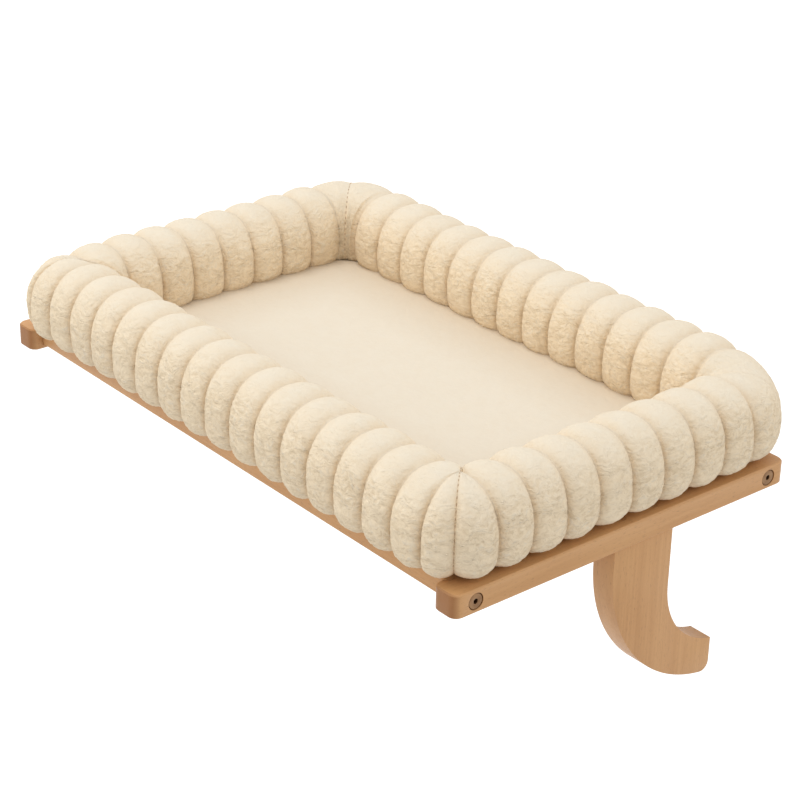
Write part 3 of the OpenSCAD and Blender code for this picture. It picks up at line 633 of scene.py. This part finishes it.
def eased_copy(node, material, body, radius):
    """A copy of a CAD node with its sharp edges rounded, to stand for it."""
    form = bmesh.new()
    form.from_mesh(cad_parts[node].data)
    bmesh.ops.remove_doubles(form, verts=form.verts, dist=WELD)
    bmesh.ops.dissolve_limit(form, angle_limit=math.radians(FLAT_BELOW), verts=form.verts,
                             edges=form.edges)
    piece = object_from(node+"_eased", mesh_from(form, node+"_eased"), material, body)
    bevel = piece.modifiers.new("bevel", "BEVEL")
    bevel.width = radius
    bevel.segments = EASED_SEGMENTS
    bevel.limit_method = "ANGLE"
    bevel.angle_limit = math.radians(EASED_ABOVE)
    apply_modifiers(piece)
    merge_doubles(piece.data)
    smooth_by_angle(piece.data, SMOOTH_BELOW)
    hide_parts(node)


def merge_doubles(mesh):
    """Joins the points that a bevel leaves in one place where an edge has no room for it."""
    form = bmesh.new()
    form.from_mesh(mesh)
    bmesh.ops.remove_doubles(form, verts=form.verts, dist=WELD)
    form.to_mesh(mesh)
    form.free()


def smooth_by_angle(mesh, degrees):
    mesh.shade_smooth()
    mesh.set_sharp_from_angle(angle=math.radians(degrees))


# The channelled bolster.

def swell_at(share):
    """How full a lobe is at a share of its length, from 0 to 1."""
    return np.sqrt(np.maximum(0, np.sin(np.pi*np.clip(share, 0, 1))))


def reach(half, turn):
    """Length of a tube's outer line from its middle to the corner's seam, round the turn."""
    return half-turn*(1-math.pi/4)


def placed(s, u, half, turn):
    """Where the line at u out from a tube's middle is at the place s: how far along, and how far
    out. Outside the pivot it turns through 45 degrees. Inside, it is pressed against the seam."""
    pivot = TUBE_A-turn
    angle = np.clip((s-half+turn)/turn, 0, math.pi/4)
    outer_along = np.where(s > half-turn, half-turn+(u-pivot)*np.sin(angle), s)
    outer_out = np.where(s > half-turn, pivot+(u-pivot)*np.cos(angle), u)
    seam = half-TUBE_A+u
    depth = SQUEEZE*np.minimum(1, np.maximum(0, pivot-u)/TUBE_A+LEAST_SQUEEZE)
    room = reach(half, turn)-seam+depth
    t = np.clip((s-seam+depth)/room, 0, 1)
    inner_along = np.where(s <= seam-depth, s, seam-depth+t*room/(1+t*(room/depth-1)))
    inside = u < pivot
    return np.where(inside, inner_along, outer_along), np.where(inside, u, outer_out)


def section_angles(count):
    """Angles round a tube's section that give points at even distances, from the middle below,
    and that distance."""
    fine = np.linspace(-math.pi/2, 1.5*math.pi, FINE_ANGLES)
    out, up = section(np.cos(fine), np.sin(fine), full=0, pull=0, droop=0, sag=0)
    steps = np.hypot(np.diff(out), np.diff(up))
    travelled = np.concatenate(([0], np.cumsum(steps)))
    return np.interp(np.arange(count)*travelled[-1]/count, travelled, fine), travelled[-1]/count


def section(c, d, full, pull, droop, sag):
    """A tube's section: how far out and how high a point is. full says how far the lobe swells,
    pull how far the channel's thread draws it in, droop how far a slack corner sinks, and sag how
    much squarer the outer foot is, where it leans over the rail."""
    upper = d > 0
    pull_side = pull*np.interp(c, INNER_TO_OUTER, (INNER_CREASE, 1))
    pull_base = pull*np.interp(c, INNER_TO_OUTER, (INNER_BASE, 1))
    draw = pull_side*np.interp(d, (-1, 0, 1), (CREASE_FOOT, CREASE_SIDE, CREASE_CREST))
    width = TUBE_A+LOBE_SWELL*full-draw-np.where(c > 0, droop*DROOP_OUT*np.maximum(d, 0), 0)
    foot = FOOT_POWER-np.where(c > 0, sag, 0)
    out = np.where(upper, width*signed_power(c, CREST_POWER), width*signed_power(c, foot))
    rise = (TUBE_RISE+LOBE_SWELL*full-draw-droop)*np.abs(d)**CREST_POWER
    low = (TUBE_Z-TUBE_FLOOR-CREASE_BASE*pull_base)*np.abs(d)**foot
    return out, TUBE_Z+np.where(upper, rise, -low)


class Tube:
    """One of the bolster's four tubes, along X with its outer side towards -Y until it is placed.
    Its two ends, low and high, are the mitres on its left and right."""

    def __init__(self, name, length, lobes, share, shift, turns, droops, place, angle, sag=0):
        self.name = name
        self.sag = sag
        self.half = length/2
        self.turns = turns
        self.droops = droops
        self.arcs = [REAR_CORNER_ARC if turn == REAR_TURN else CORNER_ARC for turn in turns]
        self.low = -reach(self.half, turns[0])
        self.high = reach(self.half, turns[1])
        self.pitch = length*share/lobes
        self.lobes = lobes
        self.first = shift-self.pitch*lobes/2
        self.last = self.first+self.pitch*lobes
        self.place = place
        self.turned = np.array(Matrix.Rotation(angle, 3, "Z"))

    def stations(self, cuts):
        """Places along the tube, with the channels among them, and which of them are channels."""
        cell = self.pitch/CELLS_TO_A_LOBE
        spans = [(self.low, self.first)]
        spans += [(self.first+k*self.pitch, self.first+(k+1)*self.pitch) for k in range(self.lobes)]
        spans += [(self.last, self.high)]
        places, channels = [], []
        for start, end in spans:
            count = max(3, round((end-start)/cell))*cuts
            places.extend(start+(end-start)*np.arange(count)/count)
            channels.extend([True]+[False]*(count-1))
        return np.array(places+[self.high]), np.array(channels+[True])

    def fullness(self, s):
        """How full the tube is at the places s, from 0 at a channel to 1 in mid lobe."""
        inside = np.clip((s-self.first)/self.pitch, 0, self.lobes)
        in_lobe = swell_at(inside-np.floor(inside))
        at_low = swell_at((self.first-s)/(self.first-self.low)*self.arcs[0])
        at_high = swell_at((s-self.last)/(self.high-self.last)*self.arcs[1])
        return np.where(s < self.first, at_low, np.where(s > self.last, at_high, in_lobe))

    def grid(self, cuts):
        """Points of the tube as an array of stations by places round the section. Also how full
        each is, which stations are channels, and how far apart the points stand round it."""
        places, channels = self.stations(cuts)
        angles, spacing = section_angles(CELLS_ROUND*cuts)
        s, a = np.meshgrid(places, angles, indexing="ij")
        c, d = np.cos(a), np.sin(a)
        along, _ = self.laid(s, TUBE_A*c)
        packed = np.clip(np.gradient(along, axis=0)/np.gradient(s, axis=0)*PRESSED_LOBES, 0, 1)
        soft = 1+CREST_SOFTNESS*np.clip(d, 0, 1)**2
        full = PRESSED_FULLNESS+(self.fullness(s)**soft-PRESSED_FULLNESS)*packed
        in_corner = (s < self.first) | (s > self.last)
        rounded = np.maximum(-d, 0)*np.where(in_corner, ROUND_CORNER_FOOT, ROUND_FOOT)
        pull = (1-full)**2*(1-rounded)+(1-full*full)*rounded
        out, up = section(c, d, full, pull, self.droop(s), self.foot_sag(s))
        along, outward = self.laid(s, out)
        points = np.stack([along, -outward, up], axis=-1)
        return points, full, channels, spacing

    def laid(self, s, out):
        """How far along and out the points at s and out lie, once the corners are turned."""
        along = np.empty_like(s)
        outward = np.empty_like(s)
        for side, turn in ((-1, self.turns[0]), (1, self.turns[1])):
            here = (s < 0) if side < 0 else (s >= 0)
            reached, moved_out = placed(np.abs(s[here]), out[here], self.half, turn)
            along[here] = side*reached
            outward[here] = moved_out
        return along, outward

    def droop(self, s):
        """How far the crest sinks towards the corners at its two ends."""
        low = np.clip(1-(s-self.low)/DROOP_REACH, 0, 1)
        high = np.clip(1-(self.high-s)/DROOP_REACH, 0, 1)
        return self.droops[0]*low*low*(3-2*low)+self.droops[1]*high*high*(3-2*high)

    def foot_sag(self, s):
        """How much squarer the outer foot is, none at the mitres."""
        return self.sag*np.clip(np.minimum(s-self.low, self.high-s)/SAG_REACH, 0, 1)

    def held_in(self, points):
        """Keeps points on their own side of the two mitres."""
        limit = self.half-TUBE_A-points[..., 1]
        points[..., 0] = np.clip(points[..., 0], -limit, limit)
        return points

    def into_place(self, points):
        """The points turned and moved to the tube's side of the bed, in metres."""
        return (points @ self.turned.T + np.array([*self.place, 0]))*MM


def grid_faces(rows, columns):
    """Quads of a closed tube, and a fan over each end."""
    i, j = np.meshgrid(np.arange(rows-1), np.arange(columns), indexing="ij")
    k = (j+1) % columns
    quads = np.stack([i*columns+j, (i+1)*columns+j, (i+1)*columns+k, i*columns+k], -1)
    ring = np.arange(columns)
    after = (ring+1) % columns
    centre = rows*columns
    low = np.stack([np.full(columns, centre), ring, after], -1)
    end = (rows-1)*columns
    high = np.stack([np.full(columns, centre+1), end+after, end+ring], -1)
    return quads.reshape(-1, 4).tolist()+low.tolist()+high.tolist()


def tube_mesh(name, points):
    """A closed tube over a grid of points, with its end rings filled on the mitre."""
    rows, columns = points.shape[:2]
    ends = np.stack([points[0].mean(0), points[-1].mean(0)])
    mesh = bpy.data.meshes.new(name)
    mesh.from_pydata(np.concatenate([points.reshape(-1, 3), ends]).tolist(), [],
                     grid_faces(rows, columns))
    return mesh


def inflate(mesh, pinned):
    """Blows up a closed cloth held at its pinned points, and gives how far each point moves. No
    point moves further than the limit."""
    cloth_piece = linked("cloth", mesh)
    scene = bpy.context.scene
    group = cloth_piece.vertex_groups.new(name="pinned")
    group.add([int(point) for point in pinned], 1, "REPLACE")
    set_cloth(cloth_piece.modifiers.new("cloth", "CLOTH"))
    rest = read_points(mesh)
    for moment in range(1, CLOTH_FRAMES+1):
        scene.frame_set(moment)
    graph = bpy.context.evaluated_depsgraph_get()
    after = read_points(cloth_piece.evaluated_get(graph).data)
    scene.frame_set(1)
    bpy.data.objects.remove(cloth_piece)
    bpy.data.meshes.remove(mesh)
    moved = np.nan_to_num(after-rest)
    length = np.linalg.norm(moved, axis=1, keepdims=True)
    return moved*np.minimum(1, CLOTH_LIMIT*MM/np.maximum(length, 1e-9))


def set_cloth(cloth):
    settings = cloth.settings
    settings.quality = 5
    settings.mass = 0.3
    settings.tension_stiffness = 12
    settings.compression_stiffness = 12
    settings.shear_stiffness = 4
    settings.bending_stiffness = 0.4
    settings.vertex_group_mass = "pinned"
    settings.use_pressure = True
    settings.uniform_pressure_force = CLOTH_PRESSURE
    settings.shrink_min = -CLOTH_GROWTH
    settings.effector_weights.gravity = 0
    cloth.collision_settings.use_collision = False
    cloth.collision_settings.use_self_collision = False
    cloth.point_cache.frame_start = 1
    cloth.point_cache.frame_end = CLOTH_FRAMES


def read_points(mesh):
    flat = np.empty(len(mesh.vertices)*3)
    mesh.vertices.foreach_get("co", flat)
    return flat.reshape(-1, 3)


def refine(values, cuts, axis, closed):
    """Puts cuts-1 smooth steps between neighbours along an axis, through the given values."""
    values = np.moveaxis(values, axis, 0)
    count = len(values)
    spans = count if closed else count-1

    def at(index):
        return values[index % count] if closed else values[np.clip(index, 0, count-1)]

    index = np.arange(spans)
    before, start, end, after = at(index-1), at(index), at(index+1), at(index+2)
    parts = []
    for k in range(cuts):
        t = k/cuts
        parts.append(0.5*((2*start)+(end-before)*t+(2*before-5*start+4*end-after)*t*t
                          + (3*start-before-3*end+after)*t**3))
    dense = np.stack(parts, 1).reshape(-1, *values.shape[1:])
    if not closed:
        dense = np.concatenate([dense, values[-1:]])
    return np.moveaxis(dense, 0, axis)


def simulated(tube):
    """How far the fill pushes the cloth of a tube out, on the fine grid, in millimetres."""
    points, _, channels, _ = tube.grid(1)
    rows, columns = points.shape[:2]
    held = channels[:, None] | (points[..., 2] < TUBE_FLOOR+HELD_FOOT)
    end_centres = [rows*columns, rows*columns+1]
    pinned = list(np.flatnonzero(held.reshape(-1)))+end_centres
    moved = inflate(tube_mesh("cloth", points*MM), pinned)
    moved = moved[:rows*columns].reshape(rows, columns, 3)
    outward = np.sum(moved*grid_normals(points), axis=-1)/MM
    for _ in range(SMOOTHINGS):
        outward = (np.roll(outward, 1, 1)+2*outward+np.roll(outward, -1, 1))/4
        outward[1:-1] = (outward[:-2]+2*outward[1:-1]+outward[2:])/4
        outward[channels] = 0
    return refine(refine(outward, CUTS, 0, False), CUTS, 1, True)


def grid_normals(points):
    """Directions straight out of a tube at its grid of points."""
    along = np.gradient(points, axis=0)
    around = np.roll(points, -1, axis=1)-np.roll(points, 1, axis=1)
    normal = unit(np.cross(along, around))
    middle = points.mean(axis=1, keepdims=True)
    flip = np.sign(np.sum((points-middle)*normal, axis=-1).mean())
    return normal*flip


def clumps_on(along, round_it, seed):
    """Height of the pile from 0, between clumps, to 1. The clumps are long and swirl about."""
    flat = flattened(along, round_it, seed*SEED_STEP)
    swirls = [smooth_noise(flat/SWIRL_SIZE+k*SWIRL_STEP, seed+k)*CLUMP_SWIRL for k in (3, 4)]
    places = np.stack([(flat[:, 0]+swirls[0])/CLUMP_ALONG, (flat[:, 1]+swirls[1])/CLUMP_ROUND,
                       flat[:, 2]], -1)
    small_places = places*SMALL_CLUMP_SCALE+SMALL_STEP
    big = np.clip(np.abs(smooth_noise(places, seed))*CLUMP_CONTRAST, 0, 1)
    small = np.clip(np.abs(smooth_noise(small_places, seed+1))*CLUMP_CONTRAST, 0, 1)
    return (big*BIG_CLUMPS+small*(1-BIG_CLUMPS)).reshape(along.shape)


def flattened(x, y, z):
    """A list of points from two grids of coordinates, all at one z."""
    return np.stack([x.ravel(), y.ravel(), np.full(x.size, z)], -1)


def unit(vectors):
    return vectors/np.maximum(np.linalg.norm(vectors, axis=-1, keepdims=True), 1e-12)


def piled(tube, points, full, spacing, seed):
    """Raises the pile's clumps on a tube, and gives the points and how high the pile stands."""
    rows, columns = points.shape[:2]
    travelled = tube.stations(CUTS)[0]-tube.low
    s, round_it = np.meshgrid(travelled, np.arange(columns)*spacing, indexing="ij")
    pile = clumps_on(s, round_it, seed)
    broad = smooth_noise(flattened(s, round_it, 0)/BROAD_SIZE, seed+6).reshape(rows, columns)
    fuzz = np.random.default_rng(seed+8).uniform(-1, 1, (rows, columns))*FUZZ_HEIGHT
    calm = 1-CREST_CALM*crest_of(points)
    clumps = (pile-PILE_LEVEL)*CLUMP_HEIGHT*calm+fuzz
    height = clumps*(CHANNEL_PILE+(1-CHANNEL_PILE)*full)+broad*BROAD_HEIGHT*full
    height *= np.clip(np.minimum(s, s[-1]-s)/MITRE_TAPER, 0, 1)
    points = points+grid_normals(points)*height[..., None]
    points[..., 2] = np.maximum(points[..., 2], TUBE_FLOOR-BELOW_FLOOR)
    return tube.held_in(points), pile


def crest_of(points):
    """How near to a tube's crest each point is, from 0 at its middle height to 1."""
    return np.clip((points[..., 2]-TUBE_Z)/TUBE_RISE, 0, 1)**2


def make_bolster(tube, material, seed):
    """The visible bolster of a tube. Gives the ring of points on the mitre at its high end."""
    points, full, _, spacing = tube.grid(CUTS)
    points = points+grid_normals(points)*simulated(tube)[..., None]
    points, pile = piled(tube, points, full, spacing, seed)
    mesh = tube_mesh(tube.name, tube.into_place(points))
    crest = crest_of(points)
    # Painted shade: darkest at the bottom of a channel and fading towards the crest, and between
    # the pile's clumps.
    shade_in_channels = CHANNEL_SHADE*(1-full)**CHANNEL_SHADE_POWER*(1-SHADE_LOST_AT_CREST*crest)
    shade_in_gaps = np.clip(PILE_LEVEL-pile, 0, 1)*GAP_SHADE*(1-crest)
    painted_shade = np.clip(shade_in_channels+shade_in_gaps, 0, 1)
    # The points in the middle of the two mitres get full painted shade.
    end_centres = [1, 1]
    add_attribute(mesh, "painted_shade", np.concatenate([painted_shade.ravel(), end_centres]))
    mesh.shade_smooth()
    piece = object_from(tube.name+"_plush", mesh, material, "bed")
    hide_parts(tube.name)
    return tube.into_place(points[-1])


def make_stitches(name, ring, material, lowest, top):
    """A row of thread stitches along a mitre's seam, over the crest and down both sides to the
    lowest level. Their tops are as far above the pile as top says, or below it."""
    below = len(ring)//12
    seam = ring[below:-below]
    steps = np.linalg.norm(np.diff(seam, axis=0), axis=1)
    travelled = np.concatenate(([0], np.cumsum(steps)))
    middle = ring.mean(axis=0)
    lift = (top-np.array(STITCH_DIP))[:, None]*MM
    form = bmesh.new()
    for start in np.arange(STITCH_START, travelled[-1]/MM-STITCH_LONG, STITCH_PITCH)*MM:
        spans = start+np.linspace(0, STITCH_LONG*MM, len(STITCH_DIP))
        line = np.stack([np.interp(spans, travelled, seam[:, axis]) for axis in range(3)], -1)
        if line[:, 2].min() < lowest*MM:
            continue
        add_thread(form, line+unit(line-middle)*lift, STITCH_RADIUS*MM)
    mesh = mesh_from(form, name)
    mesh.shade_smooth()
    object_from(name, mesh, material, "bed")


def add_thread(form, line, radius, sides=6):
    """A round thread along a line, with closed ends."""
    off_line = (0.31, 0.17, 0.93)
    ahead = unit(np.gradient(line, axis=0))
    across = unit(np.cross(ahead, off_line))
    up = np.cross(ahead, across)
    rings = []
    for k, centre in enumerate(line):
        size = radius*(THREAD_TIP if k in (0, len(line)-1) else 1)
        ring = []
        for side in range(sides):
            angle = 2*math.pi*side/sides
            aside = across[k]*math.cos(angle)+up[k]*math.sin(angle)
            ring.append(form.verts.new(centre+aside*size))
        rings.append(ring)
    close_rings(form, rings)


def close_rings(form, rings):
    """Adds faces between neighbouring rings of points, and one over each end."""
    for lower, upper in zip(rings, rings[1:]):
        for k in range(len(lower)):
            after = (k+1) % len(lower)
            form.faces.new((lower[k], lower[after], upper[after], upper[k]))
    form.faces.new(rings[0][::-1])
    form.faces.new(rings[-1])


def add_attribute(mesh, name, values):
    attribute = mesh.attributes.new(name, "FLOAT", "POINT")
    attribute.data.foreach_set("value", values.astype(np.float32))


def bolster_tubes():
    to_side = BED_W/2-TUBE_A
    to_front = BED_D/2-TUBE_A
    return [
        Tube("bolster_front", BED_W, FRONT_LOBES, FRONT_LOBE_SHARE, shift=FRONT_SHIFT,
             turns=(LEFT_TURN, NEAR_TURN), droops=(LEFT_DROOP, 0),
             place=(BED_X, BED_Y-to_front), angle=0, sag=FRONT_SAG),
        Tube("bolster_rear", BED_W, REAR_LOBES, REAR_LOBE_SHARE, shift=0,
             turns=(REAR_TURN, REAR_TURN), droops=(RIGHT_DROOP, 0),
             place=(BED_X, BED_Y+to_front), angle=math.pi),
        Tube("bolster_right", BED_D, SIDE_LOBES, SIDE_LOBE_SHARE, shift=SIDE_SHIFT,
             turns=(NEAR_TURN, REAR_TURN), droops=(0, RIGHT_DROOP),
             place=(BED_X+to_side, BED_Y), angle=math.pi/2),
        Tube("bolster_left", BED_D, SIDE_LOBES, SIDE_LOBE_SHARE, shift=-SIDE_SHIFT,
             turns=(REAR_TURN, LEFT_TURN), droops=(0, LEFT_DROOP),
             place=(BED_X-to_side, BED_Y), angle=-math.pi/2),
    ]


# The pad and the bed's woven base.

def rounded_rectangle(half_x, half_y, radius, count):
    """Points round a rectangle with rounded corners, at even angles in each corner."""
    points = []
    for corner in range(4):
        cx = (half_x-radius)*(1 if corner in (0, 3) else -1)
        cy = (half_y-radius)*(1 if corner in (0, 1) else -1)
        for k in range(count):
            angle = math.pi/2*(corner+k/(count-1))
            points.append((cx+radius*math.cos(angle), cy+radius*math.sin(angle)))
    return points


def pad_grid():
    """Points over the pad as a grid squeezed into its rounded outline, and how far in they are."""
    count_x, count_y = (round(2*half/PAD_STEP)+1 for half in PAD_HALF)
    x, y = np.meshgrid(np.linspace(-1, 1, count_x), np.linspace(-1, 1, count_y), indexing="ij")
    px, py = x*PAD_HALF[0], y*PAD_HALF[1]
    over_x = np.maximum(0, np.abs(px)-(PAD_HALF[0]-PAD_CORNER))
    over_y = np.maximum(0, np.abs(py)-(PAD_HALF[1]-PAD_CORNER))
    square = np.maximum(over_x, over_y)
    length = np.hypot(over_x, over_y)
    scale = np.where(length > 0, square/np.maximum(length, 1e-9), 1)
    px = np.sign(px)*(np.abs(px)-over_x*(1-scale))
    py = np.sign(py)*(np.abs(py)-over_y*(1-scale))
    inward = np.minimum((1-np.abs(x))*PAD_HALF[0], (1-np.abs(y))*PAD_HALF[1])
    return px, py, inward


def pad_heights(inward):
    """How high the pad stands over its underside: a round edge, and a low crown."""
    side = np.clip(inward/PAD_EDGE_REACH, 0, 1)
    crown = np.clip(inward/PAD_CROWN_REACH, 0, 1)
    return PAD_EDGE*np.sqrt(1-(1-side)**2)+PAD_CROWN*np.sin(crown*math.pi/2)


def make_pad(material):
    px, py, inward = pad_grid()
    pile = clumps_on(px, py, PAD_SEED)
    rolls = smooth_noise(flattened(px, py, 0)/PAD_ROLL_SIZE, PAD_ROLL_SEED).reshape(px.shape)
    room = np.clip(inward/PAD_EDGE_REACH, 0, 1)
    raised = ((pile-PAD_PILE_LEVEL)*PAD_CLUMP_HEIGHT+rolls*PAD_ROLL_HEIGHT)*room
    top = PAD_LOW+pad_heights(inward)+raised
    mesh = bpy.data.meshes.new("bed_pad")
    mesh.from_pydata(*closed_sheet(np.stack([px+BED_X, py+BED_Y, top], -1)*MM))
    # Painted shade on the pad between its clumps, and near its edge, under the bolsters.
    shade_in_gaps = np.clip(PILE_LEVEL-pile, 0, 1)*PAD_GAP_SHADE
    in_shade = np.clip(1-inward/PAD_SHADE_REACH, 0, 1)*PAD_SHADE
    underside = 0
    add_attribute(mesh, "painted_shade", np.append(shade_in_gaps+in_shade, underside))
    mesh.shade_smooth()
    piece = object_from("bed_pad_plush", mesh, material, "bed")
    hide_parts("bed_pad")


def closed_sheet(upper):
    """A grid of points with a flat border, closed from below by a fan round one more point."""
    rows, columns = upper.shape[:2]
    index = np.arange(rows*columns).reshape(rows, columns)
    quads = np.stack([index[:-1, :-1], index[1:, :-1], index[1:, 1:], index[:-1, 1:]], -1)
    border = np.concatenate([index[:-1, 0], index[-1, :-1], index[:0:-1, -1], index[0, :0:-1]])
    points = upper.reshape(-1, 3)
    middle = points[border].mean(axis=0)
    fan = np.stack([np.roll(border, -1), border, np.full(len(border), len(points))], -1)
    return np.vstack([points, middle]).tolist(), [], quads.reshape(-1, 4).tolist()+fan.tolist()


def make_bed_base(material):
    """The bed's woven underside: a thin panel with soft edges and rounded corners."""
    low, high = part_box("bed_base")
    middle = (Vector(low)+Vector(high))/2
    half_x = (high[0]-low[0])/2
    half_y = (high[1]-low[1])/2
    thick = high[2]-low[2]
    form = bmesh.new()
    outline = rounded_rectangle(half_x, half_y, BASE_CORNER, BASE_CORNER_POINTS)
    rings = []
    for inset, share in BASE_PROFILE:
        shrink_x, shrink_y = (half_x-inset)/half_x, (half_y-inset)/half_y
        height = low[2]+thick*share
        rings.append([form.verts.new((middle.x+x*shrink_x, middle.y+y*shrink_y, height))
                      for x, y in outline])
    close_rings(form, rings)
    mesh = mesh_from(form, "bed_base")
    smooth_by_angle(mesh, BASE_SMOOTH_BELOW)
    piece = object_from("bed_base_cloth", mesh, material, "bed")
    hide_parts("bed_base")


# Everything together.

# CAD nodes that get rounded edges: each one's body, material, slot and radius in metres. A pair has
# {} for right and left.
EASED_PAIRS = (
    ("end_rail_{}", "frame", "beech_y", "beech", 0.0007),
    ("leg_{}", "frame", "beech_z", "beech", 0.0016),
    ("knob_{}", "turn_{}", "knob", "black_plastic", 0.0008),
    ("hook_{}", "hook_{}", "zinc", "zinc_steel", 0.0003),
    ("hook_pad_{}", "hook_{}", "rubber", "rubber", 0.0004),
    ("washer_{}", "clamp_{}", "zinc", "zinc_steel", 0.0002),
    ("stud_{}", "turn_{}", "zinc", "zinc_steel", 0.0004),
)
EASED = (
    ("front_rail", "frame", "beech_x", "beech", 0.0006),
    ("rear_rail", "frame", "beech_x", "beech", 0.0006),
    ("frame_bolts", "frame", "bronze", "bolt_bronze", 0.00035),
    ("toe_pads", "frame", "rubber", "rubber", 0.0006),
    ("sill_pads", "frame", "rubber", "rubber", 0.0003),
    ("guide_straps", "frame", "zinc", "zinc_steel", 0.0002),
    ("bearer_right", "frame", "beech_y", "beech", 0.0004),
    ("bearer_left", "frame", "beech_y", "beech", 0.0004),
    ("bearer_middle", "frame", "beech_y", "beech", 0.0004),
)

# CAD nodes that keep their own mesh and only get a material.
DRESSED = {
    "beech_z": ("leg_dowels",),
    "plywood": ("base_panel",),
    "zinc": ("barrel_nuts", "bearer_screws", "panel_screws", "tee_nuts", "strap_screws"),
    "yellow_zinc": ("leg_screws",),
    "hook_tape": ("grip_strips",),
    "loop_tape": ("loop_strips",),
}


def finish_frame(materials):
    for side in ("right", "left"):
        for node, body, kind, slot, radius in EASED_PAIRS:
            eased_copy(node.format(side), materials[kind], body.format(side), radius)
    for node, body, kind, slot, radius in EASED:
        eased_copy(node, materials[kind], body, radius)
    for kind, nodes in DRESSED.items():
        for slot in (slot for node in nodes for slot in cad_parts[node].material_slots):
            slot.material = materials[kind]


def make_materials():
    return {
        "beech_x": beech("beech_along_x", "X", 0.75),
        "beech_y": beech("beech_along_y", "Y", 0.75),
        "beech_z": beech("beech_along_z", "Z", 0.1),
        "plywood": plywood(),
        "bronze": metal("bolt_bronze", (0.30, 0.175, 0.09), (0.19, 0.105, 0.055), 0.34),
        "zinc": metal("zinc_plate", (0.62, 0.62, 0.61), (0.50, 0.50, 0.49), 0.32),
        "yellow_zinc": metal("yellow_zinc_plate", (0.80, 0.55, 0.30), (0.70, 0.46, 0.23), 0.5),
        "knob": moulded("knob_plastic", (0.022, 0.022, 0.023), 0.5, 0.00004),
        "rubber": moulded("rubber", (0.030, 0.030, 0.031), 0.85, 0.00006),
        "plush": plush("plush", crest=(0.78, 0.70, 0.57), flank=(0.93, 0.78, 0.57),
                       shade=(0.80, 0.60, 0.37), trough_shade=(0.72, 0.575, 0.385),
                       deepest_shade=(0.46, 0.285, 0.14), height=0.0015),
        "pad": plush("plush_pad", crest=(0.78, 0.705, 0.585), flank=(0.78, 0.68, 0.53),
                     shade=(0.74, 0.63, 0.48), trough_shade=(0.74, 0.63, 0.48),
                     deepest_shade=(0.60, 0.45, 0.29), height=0.0004),
        "thread": moulded("thread", (0.42, 0.28, 0.16), 0.8, 0.00004),
        "base_cloth": woven("base_cloth", (0.62, 0.54, 0.43), (0.47, 0.39, 0.29), 0.0016),
        "hook_tape": hook_and_loop("hook_tape", (0.028, 0.028, 0.030), 900),
        "loop_tape": hook_and_loop("loop_tape", (0.040, 0.040, 0.042), 1300),
    }


make_camera()
make_floor()
make_world()
for lamp in LAMPS:
    make_lamp(*lamp)

materials = make_materials()
finish_frame(materials)
for number, tube in enumerate(bolster_tubes()):
    seam = make_bolster(tube, materials["plush"], FIRST_TUBE_SEED+NEXT_TUBE_SEED*number)
    make_stitches(tube.name+"_stitches", seam, materials["thread"], PAD_LOW+PAD_EDGE,
                  STITCH_TOPS[tube.name])
make_pad(materials["pad"])
make_bed_base(materials["base_cloth"])

bpy.context.scene.view_settings.view_transform = "Standard"
